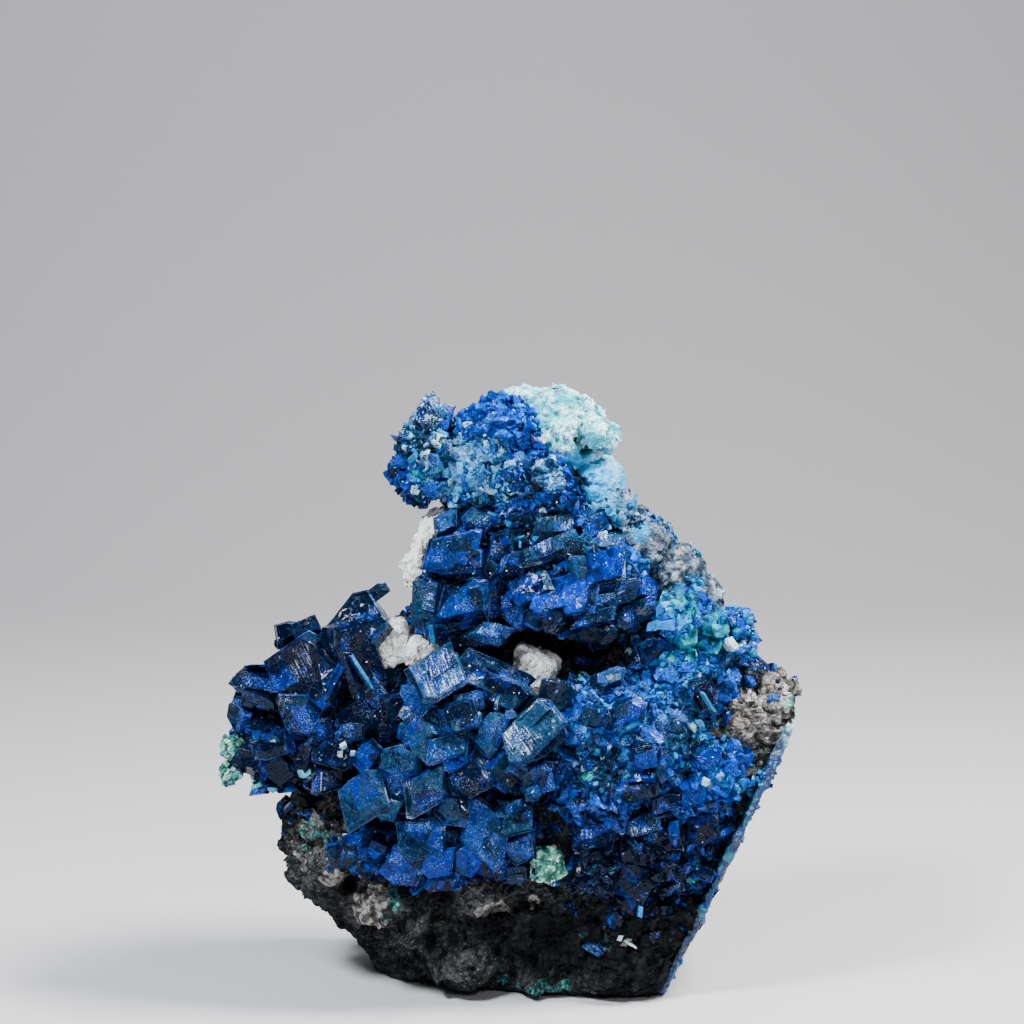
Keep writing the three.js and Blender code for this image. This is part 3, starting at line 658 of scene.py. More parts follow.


# Regions with a look of their own: across, up, depth, radius, the change of tone and of sheen (a painted
# reflection), and the share of the small crystals there that is green, pale or sky blue.
regions = [
    (-1.3, 97.5, -9, 8.0, 0.4, -0.1, 0.0, 0.0, 0.15),  # head: vivid top, dark foot, granular patch
    (2.5, 87.0, -12, 5.0, -0.4, 0.1, 0.0, 0.04, 0.12),
    (-6.8, 87.0, -12, 8.5, 0.4, 0.4, 0.12, 0.66, 0.75),
    (-6.1, 90.6, -12, 2.4, 0.3, 0.3, 0.0, 0.95, 0.3),
    (-12.6, 87.6, -11, 4.0, 0.2, 0.3, 0.1, 0.4, 0.6),
    (-6.6, 84.2, -12, 2.4, 0.0, 0.0, 0.8, 0.3, 0.0),
    (6.6, 87.8, -12, 2.8, 0.0, 0.5, 0.0, 0.4, 0.6),
    (-14.2, 96.3, -10, 5.0, -0.35, 0.6, 0.0, 0.3, 0.3),  # tip, and the knob under it
    (-18.8, 88.7, -8, 3.2, 0.6, -0.3, 0.0, 0.0, 0.0),
    (13.5, 77.0, -12, 5.0, 0.0, 0.2, 0.0, 0.15, 0.3),  # painted silvery sheen on the rim of the upper blocks
    (4.0, 77.5, -13, 5.0, -0.1, 0.2, 0.02, 0.06, 0.2),
    (22.0, 71.0, -10, 4.5, 0.35, 0.0, 0.0, 0.05, 0.25),
    (7.5, 58.5, -12, 8.0, -0.6, -0.4, 0.03, 0.0, 0.0),  # painted shade in the hollow under them
    (21.2, 60.4, -14, 4.2, 0.1, 0.2, 0.08, 0.4, 0.2),  # shoulder: pale rim, cap, glitter, painted shade in the hollow, mass
    (25.0, 50.0, -18, 15.0, 0.28, 0.2, 0.03, 0.06, 0.3),
    (30.2, 64.0, -12, 6.5, 0.2, 0.1, 0.5, 0.1, 0.3),
    (29.0, 57.5, -15, 6.5, 0.2, 0.1, 0.3, 0.08, 0.25),
    (32.6, 51.4, -15, 4.0, -0.7, -0.2, 0.0, 0.0, 0.0),
    (28.3, 45.0, -18, 4.6, -0.6, 0.5, 0.0, 0.12, 0.1),
    (14.5, 38.5, -20, 4.5, -0.6, 0.3, 0.0, 0.05, 0.1),
    (20.4, 46.6, -20, 3.4, 0.1, 0.3, 0.0, 0.15, 0.5),
    (39.5, 40.0, -14, 9.0, 0.6, 0.1, 0.0, 0.08, 0.6),
    (13.7, 37.0, -20, 1.4, 0.0, 0.0, 0.9, 0.0, 0.0),
    (37.5, 61.3, -6, 6.0, 0.3, 0.0, 0.1, 0.12, 0.35),
    (2.0, 50.0, -20, 1.6, 0.0, 0.0, 0.5, 0.3, 0.0),  # specks of turquoise on the front and the left
    (5.0, 53.0, -19, 1.6, 0.0, 0.0, 0.5, 0.3, 0.0),
    (-41.9, 35.4, -12, 2.2, 0.0, 0.0, 0.5, 0.3, 0.0),
    (-33.8, 37.7, -16, 1.6, 0.0, 0.0, 0.7, 0.3, 0.0),
    (-45.8, 42.5, -10, 1.8, 0.0, 0.0, 0.5, 0.3, 0.0),
    (-29.0, 43.0, -19, 4.0, 0.0, 0.3, 0.0, 0.1, 0.3),
    (-8.0, 44.0, -22, 9.0, 0.1, 0.7, 0.0, 0.24, 0.3),
    (-14.5, 26.9, -20, 4.0, 0.1, 0.3, 0.0, 0.1, 0.4),  # below: granular faces, and painted shade on the dark right
    (-4.0, 28.0, -20, 4.5, 0.1, 0.2, 0.02, 0.06, 0.4),
    (22.0, 12.0, -14, 12.0, -0.5, -0.1, 0.03, 0.0, 0.05),
    (18.0, 24.0, -16, 7.0, -0.4, 0.1, 0.05, 0.04, 0.1),
]

# Where the clay and the nodule show between the crystals: across, up, depth, radius.
openings = [
    (-19.4, 60.2, -15, 4.8), (-14.6, 58.0, -15, 3.2), (4.6, 56.4, -14, 5.4), (6.9, 23.9, -20, 3.4),
    (-14.6, 73.0, -9, 3.4), (-12.0, 79.4, -9, 2.4),
]


def within(points, spot, radius):
    # How far points are from a spot on the sketch, in radii. Depth counts for a third.
    flatten = np.array([1.0, 0.33, 1.0])
    return np.linalg.norm((points - place(*spot)) * flatten, axis=1) / radius


largestTinted = 2.6  # the length of the largest small crystals that take a tint


def regional(rng, middle, look, shares, reach):
    # The look of crystals, changed by 1 less the smooth step out from each region, and their random
    # tints, which the larger of them are spared.
    look = look.copy()
    hit = rng.uniform(0, 1, (len(middle), 3)) < np.array(shares)
    tint = hit * rng.uniform(0.6, 1.0, hit.shape)
    for across, up, depth, radius, tone, sheen, *regionShares in regions:
        near = 1 - rise(within(middle, (across, up, depth), radius), 0.5, 1.2)
        look[:, 0] += near * tone
        look[:, 1] += near * sheen
        share = np.array(regionShares) * near[:, None] * (reach < largestTinted)[:, None]
        hit = rng.uniform(0, 1, tint.shape) < share
        tint = np.maximum(tint, hit * rng.uniform(0.6, 1.0, tint.shape))
    return look, tint


def crystalObject(name, batches, shares=(0, 0, 0)):
    # Each batch is the points of crystals, their look and perhaps tints, its seed, and whether they are
    # small ones, which follow the regions and leave the openings free.
    verts, loops, counts, looks, tints, facets = [], [], [], [], [], []
    base = 0
    for points, look, seed, small in batches:
        rng = np.random.default_rng(seed)
        tint, look = look[:, 3:], look[:, :3]
        if not tint.size:
            tint = np.zeros((len(points), 3))
        if small:
            middle = points.mean((1, 2))
            free = np.all([within(middle, spot[:3], spot[3]) > 1 for spot in openings], axis=0)
            points = points[free]
            reach = np.ptp(points, axis=(1, 2)).max(-1)
            look, tint = regional(rng, middle[free], look[free], shares, reach)
        count, levels, corners, _ = points.shape
        index = base + np.arange(count * levels * corners).reshape(count, levels, corners)
        nextCorner = np.roll(index, -1, axis=2)
        quads = np.stack([index[:, :-1], nextCorner[:, :-1], nextCorner[:, 1:], index[:, 1:]], -1)
        caps = np.stack([index[:, 0, ::-1], index[:, -1]], 1)
        verts.append(points.reshape(-1, 3))
        loops += [quads.reshape(-1), caps.reshape(-1)]
        counts += [np.full(quads[..., 0].size, 4), np.full(count * 2, corners)]
        # The look of a face is its crystal's, with a change of its own. Narrow faces along edges get
        # more
        # sheen: a painted highlight on the edges.
        edge = np.tile(np.repeat(np.arange(levels - 1) % 2, corners), count)
        for share, paintedHighlight in (((levels - 1) * corners, edge), (2, 0)):
            own = np.repeat(look, share, axis=0)
            own = own + rng.normal(0, 1, own.shape) * np.array([0.2, 0.15, 0.0] if small else [0.3, 0.24,
                                                                                               0.0])
            own[:, 1] += paintedHighlight * 0.4 * (levels > 3)
            own[:, 2] = rng.uniform(0, 1, len(own))
            looks.append(own)
            tints.append(np.repeat(tint, share, axis=0))
        # A place on the face: along its own edges, from a spot of its own.
        flat = points.reshape(-1, 3)
        for ring in (quads.reshape(-1, 4), caps.reshape(-1, corners)):
            spot = flat[ring - base]
            alongEdge = unit(spot[:, 1] - spot[:, 0])
            acrossFace = unit(np.cross(np.cross(alongEdge, spot[:, 2] - spot[:, 1]), alongEdge))
            away = spot - spot[:, :1]
            u = (away * alongEdge[:, None]).sum(-1) + rng.uniform(0, 90, (len(ring), 1))
            v = (away * acrossFace[:, None]).sum(-1) + rng.uniform(0, 90, (len(ring), 1))
            facets.append(np.stack([u, v], -1).reshape(-1, 2))
        base += count * levels * corners
    obj = meshFrom(name, np.concatenate(verts), np.concatenate(loops), np.concatenate(counts))
    obj.data.shade_flat()
    facet = obj.data.uv_layers.new(name="facet")
    facet.data.foreach_set("uv", np.concatenate(facets).astype(np.float32).ravel())
    look = np.concatenate(looks)
    paint(obj.data, "look", [np.clip(look[:, 0], 0, 1.2), np.clip(look[:, 1], 0, 1.2), look[:, 2]],
          "FACE")
    paint(obj.data, "tint", list(np.concatenate(tints).T), "FACE")
    return obj


def axesFrom(lean, yaw, pitch):
    # The way a crystal's length runs, and the way its front face looks, from its turns in degrees.
    lean, yaw, pitch = (np.radians(np.asarray(t, float)) for t in (lean, yaw, pitch))
    front = np.stack([np.sin(yaw) * np.cos(pitch), -np.cos(yaw) * np.cos(pitch), np.sin(pitch)], -1)
    along = np.stack([np.cos(lean), np.zeros_like(lean), np.sin(lean)], -1)
    along = unit(along - (along * front).sum(-1, keepdims=True) * front)
    return along, front


def turned(rng, given, degrees):
    # Each vector knocked off its way by a few degrees: a random step times their tangent.
    return unit(given + rng.normal(0, 1, given.shape) * np.tan(np.radians(degrees)))


# Growth steps and mates. Sizes and places are shares of the crystal's own, and turns are in degrees.
growth = dict(
    loose=0.5, stepShare=(0.45, 0.85), stepEdge=0.95, stepLift=(0.03, 0.14), stepDepth=0.4,
    stepNarrow=(0.02, 0.15), stepTurns=(1.5, 1.0), stepLook=0.06, mateEdge=(0.38, 0.56),
    mateBack=(-0.5, -0.04), blades=0.4, bladeSize=([0.5, 0.1, 0.5], [1.0, 0.25, 0.9]),
    blockSize=(0.14, 0.5), mateNarrow=(0.15, 0.8), aligned=0.55, mateTurns=(4.0, 28.0), mateLook=0.2,
    mateLoose=0.7,
)


def onFace(middle, along, side, front, size, spot, lift):
    # A spot on a crystal's front: shares of its length and width along its axes, and a lift off it.
    return (middle + along * (spot[:, :1] * size[:, :1]) + side * (spot[:, 1:] * size[:, 1:2])
            + front * lift[:, None])


def clusterObject(name, rows, mates, seed, dim):
    # The listed crystals, thin growth steps on their faces, and smaller mates grown beside them.
    rng = np.random.default_rng(seed)
    rows = np.array(rows, float)
    count, loose = len(rows), growth["loose"]
    middle = place(*rows[:, :3].T)
    along, front = axesFrom(*rows[:, 6:9].T)
    side = np.cross(front, along)
    size, narrow = rows[:, 3:6], rows[:, 9:11]
    look = np.stack([rows[:, 11] * dim, rows[:, 12] * dim, rng.uniform(0, 1, count)], 1)
    batches = [(crystalArrays(middle, along, front, size, narrow, 6, seed, loose), look, seed, False)]

    reach = 1 - narrow.max(1, keepdims=True) * 0.8
    share = rng.uniform(*growth["stepShare"], (count, 2)) * reach
    edge = growth["stepEdge"]
    spot = rng.choice([-edge, edge], (count, 2)) * ((reach - share) * 0.5)
    lift = rng.uniform(*growth["stepLift"], count)
    stepMiddle = onFace(middle, along, side, front, size, spot, lift)
    stepSize = np.column_stack([share * size[:, :2], lift + size.min(1) * growth["stepDepth"]])
    stepNarrow = rng.uniform(*growth["stepNarrow"], (count, 2))
    alongTurn, frontTurn = growth["stepTurns"]
    steps = crystalArrays(stepMiddle, turned(rng, along, alongTurn), turned(rng, front, frontTurn),
                          stepSize, stepNarrow, 6, seed + 1, loose)
    batches.append((steps, look + rng.normal(0, growth["stepLook"], look.shape), seed + 1, False))

    owner = np.repeat(np.arange(count), mates)
    count = len(owner)
    edge = rng.uniform(-1, 1, (count, 2))
    edge /= np.abs(edge).max(1, keepdims=True)
    edge *= rng.uniform(*growth["mateEdge"], (count, 1))
    back = rng.uniform(*growth["mateBack"], count) * size[owner, 2]
    mateMiddle = onFace(middle[owner], along[owner], side[owner], front[owner], size[owner], edge, back)
    blade = rng.uniform(0, 1, (count, 1)) < growth["blades"]
    mateSize = size[owner] * np.where(blade, rng.uniform(*growth["bladeSize"], (count, 3)),
                                      rng.uniform(*growth["blockSize"], (count, 3)))
    mateNarrow = rng.uniform(*growth["mateNarrow"], (count, 2))
    turn = np.where(rng.uniform(0, 1, (count, 1)) < growth["aligned"], *growth["mateTurns"])
    mateFront = turned(rng, front[owner], turn)
    mateAlong = turned(rng, along[owner], turn)
    mated = crystalArrays(mateMiddle, mateAlong, mateFront, mateSize, mateNarrow, 6, seed + 2,
                          growth["mateLoose"])
    batches.append((mated, look[owner] + rng.normal(0, growth["mateLook"], (count, 3)), seed + 2, True))
    return crystalObject(name, batches)


def onBeds(rng, beds, count):
    # Spots on rounded masses, more of them on the larger ones, with the way out at each.
    beds = np.array(beds, float)
    reach = beds[:, 3:6]
    area = (reach[:, 0] * reach[:, 1] + reach[:, 1] * reach[:, 2] + reach[:, 0] * reach[:, 2])
    pick = rng.choice(len(beds), count, p=area / area.sum())
    way = unit(rng.normal(0, 1, (count, 3)))
    spot = beds[pick, :3] + shift + way * reach[pick]
    return spot, unit(way / reach[pick])


def onMesh(rng, mesh, count):
    # Spots spread evenly over a mesh's triangles, with the way out at each.
    mesh.calc_loop_triangles()
    corners = np.zeros(len(mesh.loop_triangles) * 3, np.int32)
    mesh.loop_triangles.foreach_get("vertices", corners)
    tri = coordsOf(mesh)[corners].reshape(-1, 3, 3)
    cross = np.cross(tri[:, 1] - tri[:, 0], tri[:, 2] - tri[:, 0])
    area = np.linalg.norm(cross, axis=1)
    pick = rng.choice(len(tri), count, p=area / area.sum())
    r = np.sqrt(rng.uniform(0, 1, (count, 1)))
    t = rng.uniform(0, 1, (count, 1))
    spot = tri[pick, 0] * (1 - r) + tri[pick, 1] * r * (1 - t) + tri[pick, 2] * r * t
    return spot, unit(cross[pick])


# The small crystals: each size is the width times a number from its pair.
druseForm = dict(
    crowding=1.7, long=(0.9, 2.2), wide=(0.5, 1.1), deep=(1.0, 1.9), spread=34, sunk=0.15,
    narrow=(0.1, 0.95), toneSpread=0.2, sheenSpread=0.18, loose=0.9,
)


def druseObject(name, spots, ways, sizes, tone, sheen, seed, tall=0.9, corners=6, shares=(0, 0, 0)):
    # Small crystals that stand out from a surface, each knocked off the way out by its own amount.
    rng = np.random.default_rng(seed)
    count = len(spots)
    small, large = sizes
    width = small * (large / small) ** (rng.uniform(0, 1, count) ** druseForm["crowding"])
    size = np.stack([width * rng.uniform(*druseForm[key], count) for key in ("long", "wide", "deep")], 1)
    front = turned(rng, ways, druseForm["spread"])
    along = unit(rng.normal(0, 1, (count, 3)))
    middle = spots + front * (size[:, 2:3] * rng.uniform(druseForm["sunk"], tall, (count, 1)))
    narrow = rng.uniform(*druseForm["narrow"], (count, 2))
    look = np.stack([np.asarray(tone) + rng.normal(0, druseForm["toneSpread"], count),
                     np.asarray(sheen) + rng.normal(0, druseForm["sheenSpread"], count),
                     rng.uniform(0, 1, count)], 1)
    points = crystalArrays(middle, along, front, size, narrow, corners, seed + 1, druseForm["loose"],
                           True)
    above = points[..., 2].min((1, 2)) > 0
    return crystalObject(name, [(points[above], look[above], seed, True)], shares)


# The listed crystals: across, up, depth, long, wide, deep, lean, yaw, pitch, ridge, tip, tone,
# sheen (a painted reflection).
clusters = dict(
    upperBlocks=dict(node="upper_blocks", mates=2, seed=11, beds=[
        (-6, -9, 72, 9, 6, 9), (7, -10, 71, 10, 6, 8), (16, -8, 73, 9, 6, 8), (2, -8, 79, 10, 5, 5),
    ], fill=950, fillSize=(0.4, 1.5), fillTone=0.4, fillFilm=0.35, rows=[
        (-8.8, 74.3, -17, 9, 6.8, 8, 10, 12, 8, 0.12, 0.1, 0.75, 0.15),
        (-13.8, 65.8, -15.5, 9.5, 5.2, 8, 88, -25, 0, 0.15, 0.1, 0.35, 0.7),
        (-6.5, 66.3, -18, 9, 8, 8, 12, 8, 10, 0.55, 0.15, 0.5, 0.5),
        (-3, 61.6, -17.5, 6.5, 3.6, 5, -15, 5, 25, 0.3, 0.6, 0.35, 0.8),
        (-6.3, 59.2, -16, 8.5, 4, 6, 5, 0, -20, 0.5, 0.3, 0.3, 0.1),
        (-13, 61, -17, 3.6, 1.3, 4, -75, 0, 0, 0.2, 0.1, 0.3, 0.8),
        (8.7, 67, -18, 12.5, 9, 9, 15, -5, 22, 0.35, 0.25, 0.8, 0.25),
        (12, 61.3, -16.5, 9.5, 6, 8, -28, 8, -22, 0.3, 0.3, 0.12, 0.15),
        (3.3, 69, -16.5, 8, 6.5, 7, 35, -25, 20, 0.3, 0.2, 0.45, 0.6),
        (0, 65.3, -15, 6, 4.5, 7, 70, -45, 0, 0.3, 0.2, 0.2, 0.3),
        (7.5, 75.8, -15, 11, 3.6, 7, 30, 10, 30, 0.3, 0.1, 0.25, 0.45),
        (12.3, 71.3, -16, 5.6, 2.8, 5, -72, 20, 5, 0.15, 0.1, 0.3, 0.95),
        (17, 72.6, -14.5, 7.5, 6, 7, 18, 22, 20, 0.15, 0.15, 0.85, 0.1),
        (16.3, 76, -13, 7, 5, 6, 25, 10, 35, 0.4, 0.3, 0.3, 0.85),
        (20, 68, -14.5, 4.6, 4.2, 6, 10, 18, 5, 0.15, 0.1, 0.05, 0.35),
        (22.2, 65, -13.5, 7, 4.2, 6, 20, 20, 10, 0.3, 0.2, 0.1, 0.5),
        (16, 65, -15.5, 6, 5, 6, 5, 5, -5, 0.3, 0.3, 0.1, 0.5),
        (16.3, 60.3, -15, 4.5, 3.5, 5, 40, 15, -10, 0.3, 0.3, 0.2, 0.2),
        (23.7, 68.6, -12, 4.6, 3.6, 5, 0, 30, 10, 0.3, 0.3, 0.8, 0.1),
        (-1.3, 75.8, -14.5, 5.2, 5, 6, 20, -5, 15, 0.3, 0.3, 0.4, 0.3),
        (1.3, 72.3, -16, 5, 4.2, 6, -10, 5, 0, 0.4, 0.4, 0.3, 0.4),
        (-3, 71.8, -15, 4.2, 3.8, 6, 40, -10, 5, 0.3, 0.3, 0.3, 0.3),
        (1.8, 79.8, -13, 3.8, 3.2, 5, 15, 0, 10, 0.5, 0.4, 0.5, 0.4),
        (7.8, 79.2, -13, 6.5, 4.6, 6, 10, 10, 25, 0.4, 0.2, 0.3, 0.6),
        (15.3, 79.4, -11, 5.4, 4, 6, 30, 20, 20, 0.4, 0.3, 0.35, 0.6),
        (-10.5, 79.6, -13.5, 4.5, 3.4, 5, 30, -5, 10, 0.3, 0.3, 0.4, 0.4),
        (-4.8, 79.8, -13.5, 4.8, 3.6, 5, -20, 5, 10, 0.3, 0.3, 0.5, 0.4),
        (11.2, 75.2, -15, 4.2, 3.4, 5, -10, 10, 5, 0.3, 0.2, 0.2, 0.5),
    ]),
    leftArm=dict(node="left_arm_crystals", mates=2, seed=21, dim=0.5, beds=[
        (-31, -9, 51, 11, 8, 11), (-38, -8, 44, 8, 7, 8), (-26, -11, 46, 9, 8, 9),
    ], fill=800, fillSize=(0.5, 1.6), fillTone=0.15, fillFilm=0.15, rows=[
        (-27.2, 60.6, -17.5, 16.5, 9, 9, 55, -28, 22, 0.12, 0.1, 0.3, 0.6),
        (-23.6, 55.8, -19.5, 14, 7.6, 8, -65, 32, -4, 0.2, 0.2, 0.0, 0.1),
        (-24.4, 54.6, -21.5, 6.6, 1, 5, -57, 10, 10, 0.1, 0.05, 0.4, 0.95),
        (-28.4, 54.8, -20.5, 11, 2.2, 7, 62, -10, 5, 0.3, 0.1, 0.2, 0.85),
        (-35, 54.4, -17, 13, 9.6, 8, 32, -18, 10, 0.14, 0.12, 0.25, 0.1),
        (-37.6, 61.4, -10, 5.4, 4.2, 7, 20, -30, 15, 0.4, 0.4, 0.3, 0.35),
        (-34.2, 62, -11, 5.4, 3.8, 7, 35, -5, 25, 0.4, 0.3, 0.35, 0.3),
        (-42, 53.6, -14.5, 10.5, 4.8, 9, -10, -22, 18, 0.55, 0.2, 0.5, 0.35),
        (-41.6, 49.7, -15.5, 8.4, 4.4, 8, -12, -12, -8, 0.6, 0.25, 0.5, 0.4),
        (-45.6, 47.3, -10, 6, 4.8, 7, 60, -42, 0, 0.3, 0.3, 0.6, 0.2),
        (-35, 46.4, -19, 8.6, 6.8, 8, -70, -8, -6, 0.35, 0.4, 0.35, 0.5),
        (-38.6, 43, -16, 7.5, 4.4, 7, 15, -10, 20, 0.35, 0.2, 0.3, 0.6),
        (-43.4, 39.8, -13.5, 7, 5.8, 8, -8, -28, 5, 0.45, 0.2, 0.5, 0.1),
        (-38.3, 38.4, -15, 6.4, 5.2, 7, -45, -5, -10, 0.3, 0.3, 0.3, 0.2),
        (-34.2, 40, -18.5, 7.6, 4.4, 7, 70, -20, 5, 0.5, 0.2, 0.3, 0.3),
        (-29.6, 36.8, -19.5, 6.4, 4.8, 6, 15, 5, -5, 0.4, 0.3, 0.15, 0.15),
        (-41.3, 35, -12.5, 3.8, 2.4, 4, 10, -10, 0, 0.4, 0.3, 0.3, 0.3),
        (-26.3, 46.4, -20, 9.5, 6, 7, 32, -10, 18, 0.25, 0.15, 0.35, 0.5),
        (-26.2, 44.6, -22, 4.2, 3.2, 4, 10, 0, 5, 0.3, 0.2, 0.3, 0.6),
        (-28.5, 41.2, -21, 7.4, 5.2, 7, -20, 0, 12, 0.35, 0.3, 0.2, 0.45),
        (-19.7, 53.6, -15.5, 5, 4.2, 6, 0, 10, 10, 0.3, 0.3, 0.2, 0.5),
        (-31.5, 50, -18.5, 6, 3.6, 6, -35, -10, 10, 0.3, 0.25, 0.55, 0.3),
        (-22, 50.6, -20, 5, 4, 6, -50, 15, 0, 0.3, 0.3, 0.15, 0.3),
        (-31, 45.5, -20, 5, 3.6, 6, 20, 0, 20, 0.3, 0.3, 0.4, 0.4),
    ]),
    middleBlocks=dict(node="middle_crystals", mates=2, seed=31, beds=[
        (-10, -12, 48, 12, 9, 9), (0, -13, 45, 11, 9, 10), (-16, -13, 39, 11, 9, 7),
    ], fill=1200, fillSize=(0.4, 1.6), fillTone=0.45, fillFilm=0.75, rows=[
        (-11.6, 54.2, -23, 9.6, 8, 9, 38, 6, 20, 0.12, 0.1, 0.4, 0.7),
        (-3.3, 54.4, -19.5, 12.5, 7, 8, -28, 10, 28, 0.22, 0.15, 0.2, 0.35),
        (-1, 51, -21.5, 9, 5.4, 7, -22, -8, 5, 0.3, 0.2, 0.15, 0.3),
        (3.6, 44.8, -24, 11.5, 6.6, 9, 42, -14, 15, 0.15, 0.08, 0.4, 0.85),
        (6.4, 43, -22.5, 8.6, 3.8, 7, 42, 5, 10, 0.2, 0.1, 0.2, 0.8),
        (10.3, 41.4, -18.5, 9.5, 8.4, 7, 60, 25, 0, 0.2, 0.2, 0.1, 0.15),
        (-10, 42.2, -24.5, 6.4, 4.6, 7, 15, 5, 22, 0.2, 0.15, 0.5, 0.4),
        (-13.6, 41.8, -23.5, 5.4, 4.4, 6, -40, -10, 5, 0.25, 0.2, 0.35, 0.5),
        (-3, 44.8, -23.5, 7.6, 4.4, 7, 70, -15, 10, 0.35, 0.2, 0.4, 0.8),
        (-8.3, 47, -24, 6.6, 5.4, 7, 20, -5, 5, 0.3, 0.25, 0.4, 0.45),
        (-15.5, 44.6, -22.5, 7.6, 5.4, 7, -30, -15, 12, 0.35, 0.3, 0.3, 0.5),
        (-18.4, 39.4, -23, 7.6, 5.6, 7, 10, -8, 10, 0.35, 0.25, 0.3, 0.5),
        (-23.7, 40.4, -22, 5.6, 4.8, 6, 60, -15, 5, 0.3, 0.2, 0.35, 0.5),
        (-6.3, 37.2, -24.5, 7.4, 6.4, 7, 30, 5, 10, 0.4, 0.3, 0.3, 0.35),
        (-0.5, 37.8, -23, 6.6, 5.4, 7, -40, 8, 0, 0.3, 0.2, 0.15, 0.2),
        (-13.3, 35, -24, 8.4, 6.4, 7, 30, -5, 8, 0.4, 0.3, 0.3, 0.55),
        (4.8, 36.4, -23, 5.6, 5.2, 7, 5, 5, 0, 0.3, 0.3, 0.4, 0.5),
        (-24.6, 33.8, -23, 8.4, 7.4, 8, 35, -15, 15, 0.14, 0.12, 0.4, 0.9),
        (-20.4, 32, -23.5, 5, 3.8, 5, -20, 10, 5, 0.3, 0.2, 0.4, 0.8),
        (-19.2, 47.6, -20, 7.6, 6, 7, 40, 0, 5, 0.2, 0.2, 0.15, 0.3),
        (-16, 49.5, -22, 7, 2.6, 6, 60, -15, 5, 0.2, 0.1, 0.4, 0.85),
        (-6.5, 49.8, -22, 5, 3.2, 5, 10, 0, 20, 0.2, 0.2, 0.3, 0.5),
        (1.8, 38.4, -24, 3.2, 2.6, 4, -30, 0, 10, 0.2, 0.2, 0.4, 0.7),
        (4.2, 34.6, -23.6, 3, 2.6, 4, 20, 5, 10, 0.2, 0.2, 0.4, 0.7),
        (1.3, 31.8, -23.4, 3, 2.4, 4, 40, 5, 5, 0.2, 0.2, 0.4, 0.7),
        (-9, 40, -24.6, 4, 3.4, 4, 30, 0, 8, 0.2, 0.2, 0.8, 0.2),
    ]),
    lowerBlocks=dict(node="lower_blocks", mates=3, seed=41, beds=[
        (-13, -13, 27, 13, 7, 6.5), (-1, -13, 28, 9, 7, 7), (-23, -12, 26, 7, 6, 4.5),
    ], fill=900, fillSize=(0.4, 1.5), fillTone=0.5, fillFilm=0.55, rows=[
        (-14.2, 26.8, -23, 8.4, 6.8, 8, 8, 0, 16, 0.12, 0.1, 0.6, 0.65),
        (-17.6, 22.4, -21.5, 9.8, 6.8, 8, 55, -22, -4, 0.2, 0.15, 0.7, 0.2),
        (-11.7, 22.6, -23.5, 5.8, 5.1, 7, 3, 5, 4, 0.1, 0.08, 0.95, 0.3),
        (-10.8, 19, -22, 5.4, 3.8, 6, 5, 0, -25, 0.3, 0.2, 0.5, 0.4),
        (-6.6, 23.3, -22, 5.8, 5, 7, 85, 8, 2, 0.12, 0.1, 0.6, 0.15),
        (-3.8, 28.2, -22.5, 9, 7.8, 8, 75, 0, 12, 0.15, 0.12, 0.7, 0.6),
        (-2.2, 22, -21, 5.4, 4.4, 6, 0, 5, -5, 0.3, 0.2, 0.4, 0.2),
        (-25.6, 24.8, -20, 5.6, 5.6, 6, 0, 0, 5, 0.75, 0.75, 0.4, 0.3),
        (-22, 25.2, -20.5, 5.6, 5.4, 6, -30, 10, 5, 0.4, 0.4, 0.35, 0.3),
        (-28.9, 24.2, -18, 4.4, 3.8, 5, 20, -20, 5, 0.4, 0.3, 0.3, 0.3),
        (2, 25.2, -21.5, 5.6, 5.4, 7, 20, 5, 5, 0.35, 0.3, 0.5, 0.3),
        (1.2, 30, -23, 6, 5.2, 7, 10, -5, 10, 0.25, 0.2, 0.6, 0.4),
        (1.4, 20.8, -19.5, 5, 4.4, 6, 10, 5, -10, 0.3, 0.3, 0.3, 0.1),
        (-8.8, 31.6, -23.5, 6, 4.8, 6, -10, 0, 12, 0.3, 0.3, 0.6, 0.4),
    ]),
    lowRight=dict(node="low_right_crystals", mates=3, seed=51, dim=0.5, beds=[
        (25, -11.5, 25, 10, 6, 7), (15, -12.5, 25, 7, 6, 6),
    ], fill=700, fillSize=(0.5, 2.2), fillTone=0.22, fillFilm=0.25, rows=[
        (20.7, 19.8, -17.5, 8.4, 7.2, 7, 62, 5, 0, 0.2, 0.4, 0.5, 0.2),
        (29.6, 20.4, -15, 8.6, 6.6, 7, -10, 12, 0, 0.3, 0.3, 0.5, 0.25),
        (33, 21, -17.5, 3.6, 2.4, 4, -20, 20, 10, 0.1, 0.1, 0.95, 0.3),
        (22.4, 29.2, -19.5, 6, 3.4, 6, 22, 0, 15, 0.2, 0.15, 0.4, 0.85),
        (26.8, 33, -19.5, 5.2, 2.8, 5, 18, 5, 10, 0.2, 0.1, 0.4, 0.85),
        (14.5, 27, -19.5, 7.2, 5.6, 6, 10, 0, 5, 0.35, 0.3, 0.3, 0.3),
        (15.2, 18.8, -17, 6.2, 3, 5, -40, -5, 0, 0.3, 0.2, 0.2, 0.8),
        (33, 28.2, -16.5, 6.6, 5.2, 6, 20, 15, 0, 0.35, 0.3, 0.6, 0.2),
        (37, 27.6, -12.5, 4.4, 3.6, 5, 70, 25, 0, 0.3, 0.2, 0.9, 0.3),
        (22, 24.2, -17.5, 7.4, 4.4, 6, -20, 0, 5, 0.35, 0.3, 0.2, 0.2),
        (18.6, 29.6, -19, 4, 3, 5, 70, 0, 5, 0.2, 0.15, 0.35, 0.7),
        (12.2, 20.6, -17.5, 4, 2, 4, 50, 0, 10, 0.2, 0.15, 0.2, 0.8),
    ]),
    shoulder=dict(node="shoulder_druse", mates=2, seed=61, tall=0.5, mass=0.94, beds=[
        (21, -11.5, 45, 13, 9, 12), (29, -9, 55, 9, 7, 9), (31, -10, 39, 10, 8, 8),
        (13, -13, 47, 8, 8, 9), (15, -14, 38, 8, 8, 7),
